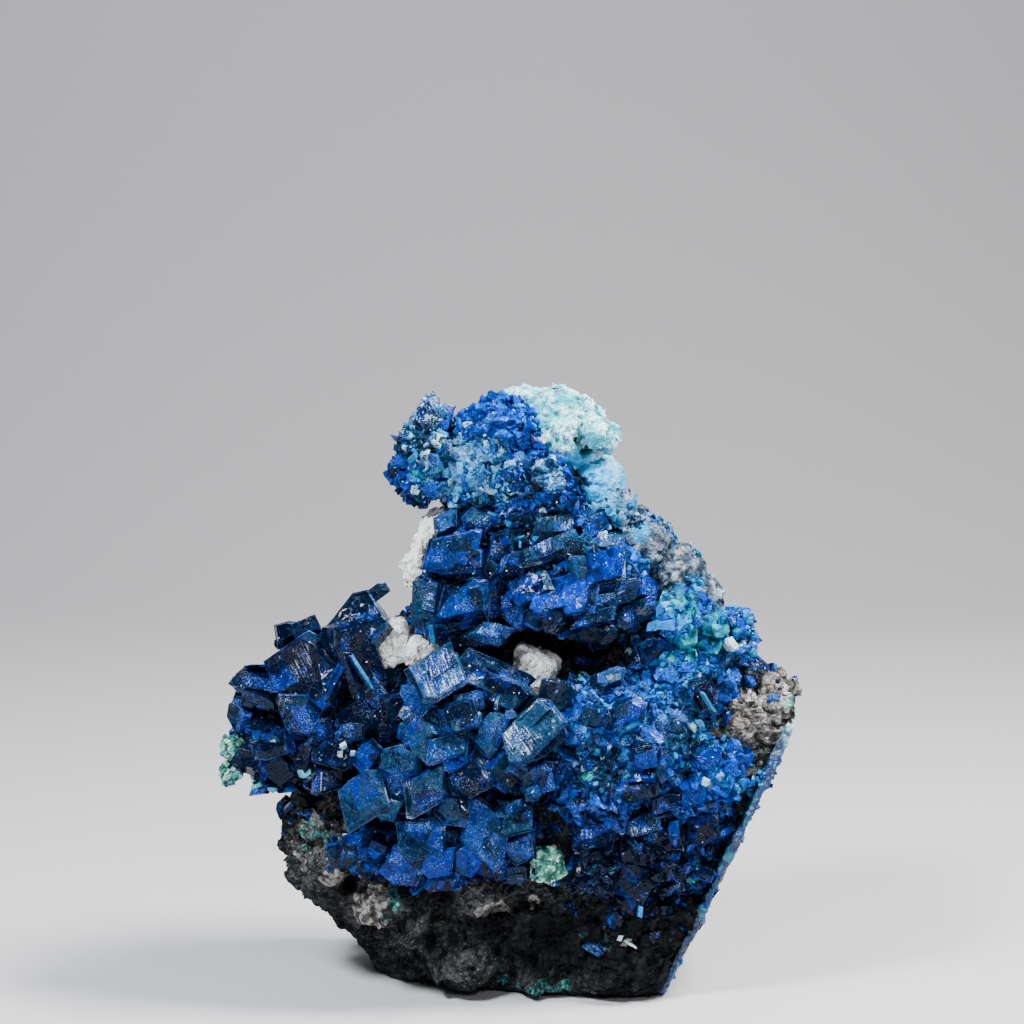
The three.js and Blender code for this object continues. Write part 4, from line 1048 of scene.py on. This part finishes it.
    ], fill=2900, fillSize=(0.5, 2.2), fillTone=0.78, fillFilm=0.4, rows=[
        (21.5, 34.2, -21.5, 7, 3.4, 6, 15, -5, 0, 0.4, 0.3, 0.15, 0.1),
        (33, 51.2, -17, 6, 4.2, 5, -60, 10, 10, 0.4, 0.3, 0.1, 0.1),
        (27.5, 44, -19, 6.4, 5.4, 6, 40, 5, 10, 0.4, 0.4, 0.25, 0.9),
        (37.3, 58.4, -11, 4, 2.4, 5, -50, 20, 15, 0.2, 0.2, 0.2, 1.1),
        (16.5, 53.6, -17.5, 6.4, 3.6, 6, 25, 0, 30, 0.4, 0.3, 0.5, 0.6),
        (24.5, 59.2, -15, 6.4, 4, 6, 32, 5, 30, 0.4, 0.3, 0.5, 0.5),
        (20, 48, -22, 5.8, 4.4, 6, 20, -5, 10, 0.35, 0.3, 0.6, 0.4),
        (14.5, 47, -22, 5.4, 4.2, 6, -15, -10, 10, 0.35, 0.3, 0.5, 0.5),
        (23, 40, -21.5, 5.6, 4.4, 6, 10, 5, 0, 0.35, 0.3, 0.6, 0.4),
        (33.5, 40, -18, 5.8, 4.8, 6, 30, 15, 5, 0.35, 0.3, 0.9, 0.2),
        (38.8, 39, -14.5, 5, 4, 5, 60, 30, 0, 0.35, 0.3, 0.9, 0.2),
        (31, 34.5, -19, 6.4, 4.6, 6, 10, 10, -5, 0.35, 0.3, 0.7, 0.2),
        (15, 35, -21.5, 5.2, 4.4, 6, -20, 0, 0, 0.35, 0.3, 0.4, 0.4),
    ]),
    head=dict(node="head_druse", mates=2, seed=71, beds=[
        (-1.5, -6.5, 96, 7.5, 5, 6), (3, -8, 88.5, 7.5, 5, 6), (-6, -7, 90, 6.5, 5, 6),
        (8, -8, 84.5, 5, 4, 4),
    ], fill=2300, fillSize=(0.3, 1.7), fillTone=0.72, fillFilm=0.3, rows=[
        (-2.5, 98.6, -8, 5.4, 4.4, 6, 40, -10, 20, 0.4, 0.3, 0.8, 0.3),
        (1, 95.4, -10.5, 5.6, 4.4, 6, -20, 5, 15, 0.4, 0.3, 0.8, 0.3),
        (-6.6, 95.4, -10, 5, 4, 6, 30, -15, 15, 0.4, 0.3, 0.5, 0.7),
        (7, 87, -13, 5.8, 4.4, 6, -60, 15, 10, 0.35, 0.2, 0.3, 1.0),
        (1.8, 88.4, -12.5, 4.8, 4.2, 6, 10, 0, 5, 0.4, 0.3, 0.6, 0.6),
        (-3, 91.4, -12, 5.6, 3.8, 6, 25, -5, 10, 0.4, 0.3, 0.6, 0.9),
        (9.6, 82.8, -12, 5.2, 4.2, 6, -45, 10, 5, 0.35, 0.3, 0.95, 0.1),
        (3.6, 82.6, -12, 5, 3.6, 5, 10, 0, -5, 0.4, 0.3, 0.6, 0.3),
        (-8.6, 84, -10.5, 4.8, 3.8, 5, 30, -15, 0, 0.4, 0.3, 0.5, 0.5),
    ]),
    tip=dict(node="tip_crystals", mates=3, seed=81, beds=[
        (-14, -8, 93.5, 4.8, 4.5, 5.5), (-14.5, -7.5, 88.5, 4.5, 4, 3.5),
    ], fill=750, fillSize=(0.3, 1.5), fillTone=0.45, fillFilm=0.3, rows=[
        (-13.8, 97.6, -10.5, 6.4, 5, 6, 60, -10, 20, 0.3, 0.3, 0.15, 0.6),
        (-10.6, 97.0, -9.5, 5.2, 3.4, 5, 75, 10, 10, 0.5, 0.3, 0.2, 0.25),
        (-16, 93, -11, 5.4, 4.4, 6, 25, -20, 10, 0.35, 0.3, 0.2, 0.7),
        (-18.4, 88.6, -9, 5, 4, 6, 20, -30, 0, 0.45, 0.4, 0.95, 0.1),
        (-15, 87.6, -10, 5, 3.8, 6, -20, -10, -5, 0.4, 0.3, 0.7, 0.2),
        (-12, 91.6, -12, 5, 3.8, 6, 10, -5, 10, 0.4, 0.3, 0.3, 0.6),
    ]),
    ledge=dict(node="ledge_druse", mates=3, seed=91, beds=[(38.6, -6, 61.5, 3.2, 4.2, 4.6)],
               fill=420, fillSize=(0.4, 1.6), fillTone=0.7, fillFilm=0.4, rows=[
        (38.2, 63.2, -9.5, 4.2, 3.2, 4, 30, 20, 15, 0.4, 0.3, 0.8, 0.3),
        (36.6, 58.6, -11.5, 4.6, 2.8, 4, -55, 15, 10, 0.3, 0.2, 0.3, 1.1),
        (39.6, 59.6, -9.5, 3.8, 3.0, 4, 60, 30, 5, 0.4, 0.3, 0.9, 0.2),
    ]),
)


def makeBeds():
    # The massive azurite under the crystals: in each bed a ball times the bed's reaches, with chips.
    ball = bmesh.new()
    bmesh.ops.create_icosphere(ball, subdivisions=4, radius=mm)
    mesh = bpy.data.meshes.new("ball")
    ball.to_mesh(mesh)
    ball.free()
    corners = np.zeros(len(mesh.loops), np.int32)
    mesh.loops.foreach_get("vertex_index", corners)
    way = coordsOf(mesh)[None]
    bpy.data.meshes.remove(mesh)
    beds, tones = [], []
    for cluster in clusters.values():
        beds += [(*bed[:3], *(reach
                              * cluster.get("mass",
                                            0.9) for reach in bed[3:])) for bed in cluster["beds"]]
        tones += [(cluster["fillTone"] * 0.8, cluster["fillFilm"])] * len(cluster["beds"])
    beds = np.array(beds, float)[:, None]
    points = (beds[..., :3] + shift + way * beds[..., 3:]).reshape(-1, 3)
    out = np.broadcast_to(way, (len(beds), *way.shape[1:])).reshape(-1, 3)
    points += out * (chipped(points, 2.2, 97) * 1.0 + knobbly(points, 1.1, 98) * 0.35)[:, None]
    points[:, 2] = np.maximum(points[:, 2], 0.3)
    index = corners[None] + np.arange(len(beds))[:, None] * way.shape[1]
    obj = meshFrom("crystalBeds", points, index.ravel(), np.full(index.size // 3, 3))
    rng = np.random.default_rng(99)
    near, own, offset = cellNoise(points[index.reshape(-1, 3)].mean(1), 2.2, 97)
    look = np.repeat(np.array(tones), index.shape[1] // 3, axis=0)
    look = np.stack([look[:, 0] + (own - 0.5) * 0.9, look[:, 1] + (own * 7 % 1 - 0.5) * 0.6,
                     rng.uniform(0, 0.95, len(look))], 1)
    look, tint = regional(rng, points[index.reshape(-1, 3)].mean(1), look, (0, 0, 0),
                          np.zeros(len(look)))
    paint(obj.data, "look", [np.clip(look[:, 0], 0, 1.2), np.clip(look[:, 1], 0, 1.2), look[:, 2]],
          "FACE")
    paint(obj.data, "tint", list((tint * 0.8).T), "FACE")
    return finishPiece(obj, azuriteDruse)


# Single crystals that stand out by their colour: as above, with the shares of green, pale and sky blue.
accents = [
    (37.6, 59.3, -14.5, 2.6, 1.7, 3, -55, 20, 15, 0.3, 0.2, 0.5, 0.5, 0, 1, 0),
    (-24.2, 54.6, -24.2, 6.8, 0.6, 2.5, -58, 10, 10, 0.1, 0.05, 0.9, 0.2, 0.1, 0, 0.35),
    (-12.6, 60.8, -19.5, 3.2, 0.7, 2, -82, 10, 0, 0.2, 0.1, 0.8, 0.3, 0.1, 0, 0.35),
    (-33.8, 37.8, -18.6, 2.2, 1.6, 2, 20, 0, 10, 0.3, 0.2, 0.5, 0.5, 0.9, 0.3, 0.3),
    (-42, 35.6, -15, 2.0, 0.7, 2, 25, -10, 10, 0.3, 0.2, 0.5, 0.5, 0.9, 0.1, 0.3),
    (-39.4, 35, -15, 1.6, 0.6, 2, -10, -10, 10, 0.3, 0.2, 0.5, 0.5, 0.2, 0.2, 0.9),
    (-27.6, 42.6, -23.6, 1.1, 0.8, 2, 40, -10, 25, 0.4, 0.3, 0.5, 0.9, 0, 0.9, 0),
    (-25.8, 41.4, -23.8, 0.9, 0.6, 2, 10, 5, 30, 0.4, 0.3, 0.5, 0.9, 0, 0.7, 0.4),
    (13.7, 37, -24, 1.2, 0.9, 2, 50, 0, 10, 0.3, 0.3, 0.5, 0.5, 1, 0, 0),
    (14.6, 36, -24, 0.9, 0.6, 2, 10, 0, 10, 0.3, 0.3, 0.5, 0.5, 1, 0.2, 0),
    (33.2, 36.4, -21, 1.3, 1.1, 2, 80, 10, 20, 0.2, 0.8, 0.5, 0.5, 0, 1, 0),
    (22.1, 14.6, -18.6, 2, 0.9, 2, 85, 0, 10, 0.2, 0.4, 0.5, 0.5, 0, 0, 1),
    (18.7, 10.4, -17.2, 2, 1, 2, 70, 0, 10, 0.2, 0.7, 0.5, 0.5, 0, 1, 0),
    (20.4, 9.2, -17, 2.8, 0.45, 1.5, -28, 0, 10, 0.2, 0.1, 0.5, 0.5, 0, 0.9, 0),
    (33.6, 49.6, -19.4, 4, 0.5, 2, -58, 15, 10, 0.2, 0.2, 0.6, 0.6, 0.1, 0.1, 0.6),
]


def makeAccents():
    rows = np.array(accents, float)
    along, front = axesFrom(rows[:, 6], rows[:, 7], rows[:, 8])
    points = crystalArrays(place(*rows[:, :3].T), along, front, rows[:, 3:6], rows[:, 9:11], 6, 95, 0.4)
    look = np.concatenate([rows[:, 11:13], np.full((len(rows), 1), 0.5), rows[:, 13:]], 1)
    return finishPiece(crystalObject("accentCrystals", [(points, look, 95, False)]), azuriteBlocks)


def makeClusters():
    made = {}
    for name, cluster in clusters.items():
        seed = cluster["seed"]
        blocks = clusterObject(name, cluster["rows"], cluster["mates"], seed, cluster.get("dim", 1.0))
        finishPiece(blocks, azuriteBlocks, [cluster["node"]])
        spots, ways = onBeds(np.random.default_rng(seed + 5), cluster["beds"], cluster["fill"])
        druse = druseObject(name + "Druse", spots, ways, cluster["fillSize"], cluster["fillTone"],
                            cluster["fillFilm"], seed + 6, tall=cluster.get("tall", 0.9))
        finishPiece(druse, azuriteDruse)
        print(name, len(blocks.data.polygons), "and", len(druse.data.polygons), "faces")
        made[name] = blocks
    return made


# Spots on the host rock: across, up, depth, radius.
rock = dict(
    voxel=0.57, swell=1.2, chipSize=4.6, chips=2.0, knobSize=1.9, knobs=1.05, crumbSize=0.95, crumbs=0.6,
    mounds=[(-17, 14.5, -15, 4.6, 4.4), (-8, 5.5, -15, 6.6, 4.6), (-4.5, 17.6, -16, 4.2, 4.0),
            (-20, 6.0, -14, 3.6, 2.6), (-12.8, 9.6, -16, 2.0, -3.6), (-2, 12.8, -16, 3.4, -3.4),
            (-10.6, 17.4, -16, 2.0, -2.6), (-22.6, 15.5, -13, 3.6, 3.0), (-19.6, 10.6, -14, 1.3, -2.6),
            (9, 9, -14, 8, -2.8), (5, 2.5, -13, 5, 1.6), (-33, 30, -12, 4, 1.6),
            (-30.5, 22, -13, 4, 2.4),
            (-26.8, 19, -13, 1.8, -2.8), (-34.5, 26, -12, 1.6, -1.8), (44, 47, -9, 5, 0.8)],
    brown=[(-22.8, 15, -13, 3.8), (-21.2, 18, -14, 2.2), (-26.4, 28, -14, 2.6), (-28.6, 20.4, -13, 2.4),
           (-34.6, 22.4, -12, 2.2), (-36.4, 29.4, -12, 1.8), (-31.2, 31.4, -13, 2.0), (42, 47, -9, 5.4),
           (45, 51, -8, 3.4), (-2.5, 15.5, -15, 2.6), (4.5, 16.4, -15, 1.2)],
    turquoise=[(-32.2, 27.0, -14, 2.0), (-30.0, 26.8, -14, 1.6), (-20.0, 15.4, -15, 0.9),
               (-20.8, 13.2, -15, 0.9), (-18.6, 17.6, -15, 1.0),
               (-22.0, 11.4, -15, 1.1), (-28.0, 15.5, -13, 1.0), (-33.5, 18.5, -13, 1.0),
               (-36.5, 24, -12, 1.0), (-26.2, 13.5, -13, 1.0), (12.4, 10.4, -15, 1.0),
               (-1, 2.6, -12, 0.8), (2.5, 2.2, -13, 1.2),
               (6, 2.4, -13, 2.2), (9.5, 2.2, -14, 1.3), (46.8, 49.4, -10, 1.6), (-35.5, 33, -12, 1.2),
               (-29, 36.5, -14, 1.1), (-33, 22, -14, 0.8), (-23.4, 5.0, -13, 1.2), (-22.9, 8, -14, 0.9),
               (-35.2, 31.6, -12, 1.2), (-36.8, 27.4, -12, 1.1), (-34.0, 25.0, -12, 1.2),
               (-38.2, 26.2, -11, 0.9), (-29.4, 32.0, -13, 1.0), (-31.6, 24.0, -13, 0.8)],
    pale=[(-32.4, 28.2, -14, 1.0), (-36.6, 28.6, -12, 0.9), (-33.6, 31.4, -13, 0.9),
          (-38.6, 22.8, -11, 0.9),
          (-22.4, 18.4, -14, 1.2), (40.8, 49.6, -11, 1.7), (19.7, 9.8, -15, 1.0), (3.9, 1.6, -13.5, 0.7),
          (46.5, 50.5, -8, 1.2),
          (-34, 30.5, -13, 0.9), (-24.5, 12, -14, 0.8), (-25.5, 29.5, -14, 0.9), (-37, 26, -12, 0.7)],
    ashen=[(-32, 25, -14, 9), (-24, 13, -14, 5), (-5.5, 17, -15, 4), (42, 47, -9, 9), (-16, 9, -14, 4.5),
           (-6, 6, -14, 4)],
    # Painted shade: the lower right that lies in shade, and the dips of the mounds.
    shadedSpots=[(20, 9, -14, 12), (-3, 13, -15, 3.2), (6, 10, -15, 7), (30, 16, -14, 8),
           (-12.8, 9.6, -15, 2.2),
           (-10.6, 17.6, -15, 2.2), (-19.6, 10.6, -14, 1.6), (-26.6, 19, -13, 1.8)],
)


def cellWay(own):
    # A direction of its own for each cell, out of the cell's number.
    return unit(np.stack([(own * 71.3) % 1, (own * 157.7) % 1, (own * 311.1) % 1], -1) * 2 - 1)


def wandered(points, size, share, amount, seed):
    # Points moved a little every way by smooth noise, whose size is a share of the given one.
    noise = np.stack([smoothNoise(points, size * share, seed + k) for k in (1, 2, 3)], -1)
    return points + noise * size * amount


def chipped(points, size, seed):
    # Flat chips: every cell is a facet that leans its own way.
    own, offset = cellNoise(wandered(points, size, 0.6, 0.12, seed), size, seed)[1:]
    return (offset * cellWay(own)).sum(-1)


def knobbly(points, size, seed):
    # Rounded knobs that meet in sharp hollows.
    near, own = cellNoise(wandered(points, size, 0.5, 0.16, seed), size, seed)[:2]
    return 0.6 - near ** 2 * 1.2 + (own - 0.5) * 0.5


def rockSpots(points, rows, seed):
    # Round in the sketch, and long in depth.
    flatten = np.array([1.0, 0.35, 1.0])
    spots = [(*(place(a, u, d) * flatten), r) for a, u, d, r in rows]
    return spotMask(points * flatten, spots, seed)


def mounds(points, rows):
    # Domes and dips: 1 less the square of the way out, times a height. Depth counts for a third.
    height = np.zeros(len(points))
    for across, up, depth, radius, tall in rows:
        height += np.clip(1 - within(points, (across, up, depth), radius) ** 2, 0, 1) * tall
    return height


def makeHostRock():
    obj = voxelCopy("hostRock", ["host_rock"], rock["voxel"])
    points = coordsOf(obj.data)
    foot = rise(points[:, 2], 0.2, 3.0)
    knobs = knobbly(points, rock["knobSize"], 104)
    crumbs = knobbly(points, rock["crumbSize"], 108)
    chips = chipped(points, rock["chipSize"], 112)
    patches = rise(layeredNoise(points, 9.0, 116, 3), -0.2, 0.4)
    # Pale ash in spots, taken down where the painted shade spots lie.
    ash = 0.16 + 0.84 * rockSpots(points, rock["ashen"], 124) - 0.5 * rockSpots(points, rock["shadedSpots"],
                                                                                125)
    relief = (layeredNoise(points, 13.0, 101, 3) * rock["swell"] + chips * rock["chips"]
              + mounds(points, rock["mounds"])
              + knobs * rock["knobs"] * (0.35 + patches) + crumbs * rock["crumbs"])
    pushOut(obj, relief * foot - 0.15)
    paint(obj.data, "stain", [rockSpots(points, rock["brown"], 121),
                              rockSpots(points, rock["turquoise"], 122),
                              rockSpots(points, rock["pale"], 123)])
    # Painted shade in the hollows between the knobs and on the shaded spots.
    shadedHollows = np.maximum(rise(-knobs, 0.15, 0.7), rockSpots(points, rock["shadedSpots"], 126) * 0.75)
    paint(obj.data, "relief", [rise(knobs + crumbs * 0.5, 0.2, 0.9), shadedHollows,
                               np.clip(ash * (0.6 + 0.5 * patches), 0, 1)])
    print("host rock", len(points))
    return finishPiece(obj, hostRockSkin, ["host_rock"])


# Crusts, clay and malachite: each is remade from its solid, and covered with knobs and chips of its
# sizes.
crusts = dict(
    paleCrest=dict(node="pale_crest", slot="pale_crust", voxel=0.32, knobSize=2.2, knobs=0.3,
                   crumbSize=0.7,
                   crumbs=0.34, mounds=[(14.6, 93.8, -9, 2.4, 1.5), (12.0, 93.2, -9, 1.4, -2.2),
                                        (13.4, 91.2, -9, 1.6, -2.6), (15.4, 91.0, -9, 1.4, -2.4)],
                   chipSize=3.4, chips=0.5, pits=0.7, seed=201,
                   zone=[(14, 84.5, -6, 7.0), (9.5, 89.5, -8, 3.0), (3.5, 96, -8, 2.5),
                         (19, 87, -3, 3)]),
    slopeCrust=dict(node="slope_crust", slot="slope_crust", voxel=0.3, knobSize=1.5, knobs=0.4,
                    crumbSize=0.7,
                    crumbs=0.3, chipSize=4.0, chips=1.0, pits=0.4, seed=211,
                    zone=[(16, 81, -8, 4.0), (22, 78, -8, 1.6), (31, 69.5, -7, 1.6)]),
    clayLeft=dict(node="white_clay_left", slot="white_clay", voxel=0.25, knobSize=1.3, knobs=0.08,
                  crumbSize=0.5,
                  crumbs=0.14, chipSize=2.6, chips=0.5, pits=0.25, seed=221,
                  lumps=[(-19.5, -12.4, 62, 3.1, 4.2, 4.2, 4), (-14.9, -13, 60.3, 2.9, 3.4, 2.6, -25)]),
    clayMiddle=dict(node="white_clay_middle", slot="white_clay", voxel=0.25, knobSize=1.3, knobs=0.12,
                    crumbSize=0.5, crumbs=0.12, chipSize=3.2, chips=0.7, pits=0.3, seed=231,
                    lumps=[(4.2, -10.8, 56.2, 4.6, 5.2, 4.0, -22)]),
    clayNeck=dict(node="white_clay_neck", slot="white_clay", voxel=0.28, knobSize=1.5, knobs=0.3,
                  crumbSize=0.6,
                  crumbs=0.2, chipSize=2.4, chips=0.7, pits=0.5, seed=241),
    greenCap=dict(node="green_cap", slot="malachite", skin=capSkin, voxel=0.25, knobSize=1.5, knobs=0.15,
                  crumbSize=0.6,
                  crumbs=0.12, chipSize=2.6, chips=1.5, pits=0.3, seed=251),
    greenNodule=dict(node="green_nodule", slot="malachite", voxel=0.2, knobSize=1.1, knobs=0.15,
                     crumbSize=0.5,
                     crumbs=0.2, chipSize=1.9, chips=1.0, pits=0.2, seed=261),
    greenTuftUpper=dict(node="green_tuft_upper", slot="malachite", voxel=0.16, knobSize=0.9, knobs=0.35,
                        crumbSize=0.4, crumbs=0.15, chipSize=1.8, chips=0.9, pits=0.2, seed=271),
    greenTuftLower=dict(node="green_tuft_lower", slot="malachite", voxel=0.16, knobSize=0.9, knobs=0.35,
                        crumbSize=0.4, crumbs=0.15, chipSize=1.8, chips=0.9, pits=0.2, seed=281),
)
crustSkins = dict(pale_crust=paleCrustSkin, slope_crust=slopeCrustSkin, white_clay=claySkin,
                  malachite=malachiteSkin)


def squared(points, lumps):
    # Round lumps made blocky: the way out from a lump's middle, times the ratio of its two-norm and its
    # eight-norm. Each lump is x, y, z, its three reaches, and its turn in the front plane in degrees.
    away = np.full(len(points), np.inf)
    made = points.copy()
    for *middle, reachX, reachY, reachZ, turn in lumps:
        c, s = math.cos(math.radians(turn)), math.sin(math.radians(turn))
        turnBack = np.array([[c, 0, -s], [0, 1, 0], [s, 0, c]])
        reach = np.array([reachX, reachY, reachZ])
        q = (points - np.array(middle) - shift) @ turnBack / reach
        far = np.linalg.norm(q, axis=1)
        eight = (np.abs(q) ** 8).sum(1) ** 0.125
        block = (q * (far / np.maximum(eight, 0.001))[:, None] * reach * 0.86) @ turnBack.T
        made = np.where((far < away)[:, None], block + np.array(middle) + shift, made)
        away = np.minimum(far, away)
    return made


def makeCrust(name, look):
    obj = voxelCopy(name, [look["node"]], look["voxel"])
    points = coordsOf(obj.data)
    if "lumps" in look:
        points = squared(points, look["lumps"])
        obj.data.vertices.foreach_set("co", (points * mm).astype(np.float32).ravel())
        obj.data.update()
    seed = look["seed"]
    knobs = knobbly(points, look["knobSize"], seed)
    crumbs = knobbly(points, look["crumbSize"], seed + 1)
    near, own, offset = cellNoise(points, look["knobSize"] * 0.8, seed + 2)
    pits = rise(0.42 - near, 0.0, 0.2) * (own > 0.62)
    zone = rockSpots(points, look.get("zone", []), seed + 4)
    swells = mounds(points, look.get("mounds", []))
    relief = (knobs * look["knobs"] + crumbs * look["crumbs"] - pits * look["pits"] + swells
              + chipped(points, look["chipSize"], seed + 3) * look["chips"] + 0.15)
    pushOut(obj, relief)
    # The third number is painted shade in the dips.
    paint(obj.data, "relief", [rise(knobs + crumbs * 0.6, -0.2, 1.1) * (1 - pits), zone,
                               rise(-swells, 0.4, 1.6)])
    skin = look.get("skin", crustSkins[look["slot"]])
    return finishPiece(obj, skin, [look["node"]])


# The rind lies on the slanting break: a point on the break and the way it faces, as in the solid.
rind = dict(at=(36, -14, 25.2), faces=(0.9, -0.1, -0.41), gap=0.35, thick=1.5, voxel=0.4)


def makeRind():
    obj = voxelCopy("sideRind", ["side_rind"], rind["voxel"])
    points = coordsOf(obj.data)
    way = unit(np.array(rind["faces"]))
    through = ((points - np.array(rind["at"]) - shift) @ way - rind["gap"]) / rind["thick"]
    knobs = knobbly(points, 1.4, 301)
    crumbs = knobbly(points, 0.6, 304)
    pushOut(obj, knobs * 0.5 + crumbs * 0.2 + smoothNoise(points, 5.0, 307) * 0.5 - 0.25)
    paint(obj.data, "relief", [through, rise(points[:, 2], 42, 49), knobs])
    return finishPiece(obj, rindSkin, ["side_rind"])


# Small crystals on the rock itself. Bare ground is given as across, up, depth, radius.
ground = dict(
    bare=[(42, 47, -9, 8.5), (-32, 25, -14, 8), (-14, 8, -14, 13), (4, 8, -14, 13), (30, 70, 0, 7),
          (4, 58, -10, 8), (-14, 56, -12, 4), (16, 57, -12, 4), (24, 4, -14, 9)],
)


def makeGround(rockPiece):
    rng = np.random.default_rng(401)
    spots, ways = onMesh(rng, rockPiece.data, 8500)
    bare = rockSpots(spots, ground["bare"], 402)
    front = rise(-ways[:, 1], -0.1, 0.3) * rise(spots[:, 2], 27, 33)
    back = rise(layeredNoise(spots, 16.0, 403, 3), 0.15, 0.5) * rise(ways[:, 1], 0.0, 0.4) * 0.35
    low = rise(-ways[:, 1], 0.3, 0.6) * rise(spots[:, 0], 6, 12) * rise(spots[:, 2], 8, 14) * 0.6
    keep = rng.uniform(0, 1, len(spots)) < np.maximum(np.maximum(front, low) * (1 - bare), back)
    spots, ways = spots[keep], ways[keep]
    tone = 0.45 + smoothNoise(spots, 9.0, 405) * 0.3
    druse = druseObject("groundDruse", spots, ways, (0.5, 2.2), tone, 0.3, 406, corners=4)
    print("ground druse", len(spots))
    return finishPiece(druse, azuriteDruse)


# Tiny crystals that have settled on other pieces: how many are tried on each, their sizes, tone, sheen
# (a painted reflection), the shares of them that are green, pale or sky blue, and the size of the bare
# patches between them.
sprinkles = dict(
    faceDust=dict(onto=list(clusters), count=1500, size=(0.1, 0.36), tone=0.5, sheen=0.7,
                  shares=(0.03, 0.1, 0.4), patch=3.0, skyward=True, seed=501),
    patchGrains=dict(onto=["head"], count=16000, near=(-6.8, 87.2, -12, 8.0), size=(0.25, 0.95),
                     tone=0.95,
                     sheen=0.9, shares=(0.12, 0.66, 0.8), patch=1.2, seed=561),
    fanGrains=dict(onto=["head"], count=5000, near=(6.6, 87.6, -12, 3.2), size=(0.25, 0.8), tone=0.5,
                   sheen=0.9, shares=(0.0, 0.5, 0.4), patch=1.2, seed=571),
    tipGrains=dict(onto=["tip"], count=3400, near=(-14.4, 96.4, -10, 4.2), size=(0.2, 0.7), tone=0.3,
                   sheen=0.9, shares=(0.0, 0.8, 0.3), patch=1.2, seed=581),
    glitterGrains=dict(onto=["upperBlocks"], count=2600, near=(15.5, 76.5, -12, 5.0), size=(0.2, 0.7),
                       tone=0.5, sheen=0.9, shares=(0.0, 0.35, 0.4), patch=1.5, skyward=True, seed=591),
    rindGrains=dict(onto=["sideRind"], count=1800, size=(0.2, 0.9), tone=0.6, sheen=0.3,
                    shares=(0.05, 0.04, 0.12), patch=3.0, seed=601),
    crestGrains=dict(onto=["paleCrest"], count=3800, away=(15, 84, -8, 7.5), size=(0.15, 0.6), tone=1.0,
                     sheen=0.8,
                     shares=(0.12, 0.98, 0.3), patch=2.0, seed=511),
    slopeGrains=dict(onto=["slopeCrust"], count=2800, size=(0.2, 0.9), tone=0.3, sheen=0.7,
                     shares=(0.03, 0.16, 0.35), patch=2.4, seed=521),
    capCrystals=dict(onto=["greenCap"], count=1300, size=(0.5, 2.4), tone=0.8, sheen=0.2,
                     shares=(0.45, 0.03, 0.4), patch=9.0, seed=531),
    noduleGrains=dict(onto=["greenNodule", "greenTuftUpper", "greenTuftLower"], count=260,
                      size=(0.2, 0.8),
                      tone=0.4, sheen=0.6, shares=(0.6, 0.45, 0.0), patch=1.5, seed=541),
    clayGrains=dict(onto=["clayLeft", "clayMiddle", "clayNeck"], count=400, size=(0.12, 0.45), tone=0.3,
                    sheen=0.6, shares=(0.12, 0.92, 0.0), patch=2.0, seed=551),
)


def makeSprinkle(name, look, made):
    rng = np.random.default_rng(look["seed"])
    spots, ways = zip(*[onMesh(rng, made[piece].data, look["count"]) for piece in look["onto"]])
    spots, ways = np.concatenate(spots), np.concatenate(ways)
    chanceHere = rise(layeredNoise(spots, look["patch"], look["seed"] + 1, 3), -0.2, 0.4)
    if "away" in look:
        *spot, radius = look["away"]
        chanceHere *= rise(within(spots, spot, radius), 0.7, 1.1)
    if "near" in look:
        *spot, radius = look["near"]
        chanceHere *= 1 - rise(within(spots, spot, radius), 0.6, 1.2)
    if look.get("skyward"):
        chanceHere *= 0.25 + 0.75 * rise(ways[:, 2], -0.2, 0.6)
    keep = rng.uniform(0, 1, len(spots)) < chanceHere
    obj = druseObject(name, spots[keep], ways[keep], look["size"], look["tone"], look["sheen"],
                      look["seed"] + 2,
                      tall=0.4, corners=4, shares=look["shares"])
    print(name, keep.sum())
    return finishPiece(obj, azuriteDruse)


def makeFloor():
    # A floor that bends up into a wall behind the specimen: a straight run, a quarter arc, a straight
    # rise.
    half, behind, radius = view["floorHalf"], view["floorBehind"], view["sweepRadius"]
    turn = np.linspace(0, math.pi / 2, 24)
    y = np.concatenate([[-half], behind + radius * np.sin(turn), [behind + radius]])
    z = np.concatenate([[0], radius * (1 - np.cos(turn)), [view["sweepHeight"]]])
    x = np.array([-half, half])
    grid = np.stack([np.broadcast_to(x[:, None], (2, len(y))), np.broadcast_to(y, (2, len(y))),
                     np.broadcast_to(z, (2, len(z)))], -1)
    index = np.arange(2 * len(y)).reshape(2, -1)
    quads = np.stack([index[0, :-1], index[1, :-1], index[1, 1:], index[0, 1:]], -1)
    floor = meshFrom("floor", grid, quads.reshape(-1), np.full(len(quads), 4))
    floor.data.shade_smooth()
    material, tree, shader, vector = newMaterial("floor", **{"Roughness": 0.6})
    shader.inputs["Base Color"].default_value = (*view["floorColor"], 1)
    floor.data.materials.append(material)


makeCamera()
makeLights()
makeFloor()
rockPiece = makeHostRock()
pieces = {crustName: makeCrust(crustName, crustLook) for crustName, crustLook in crusts.items()}
pieces["sideRind"] = makeRind()
print("rock and crusts made")
pieces.update(makeClusters())
makeBeds()
makeAccents()
makeGround(rockPiece)
for sprinkleName, sprinkleLook in sprinkles.items():
    makeSprinkle(sprinkleName, sprinkleLook, pieces)
triangles = {obj.name: sum(len(face.vertices) - 2 for face in obj.data.polygons)
             for obj in bpy.data.objects if obj.type == "MESH" and not obj.hide_render}
print("crystals made,", sum(triangles.values()), "triangles, most in", max(triangles, key=triangles.get))
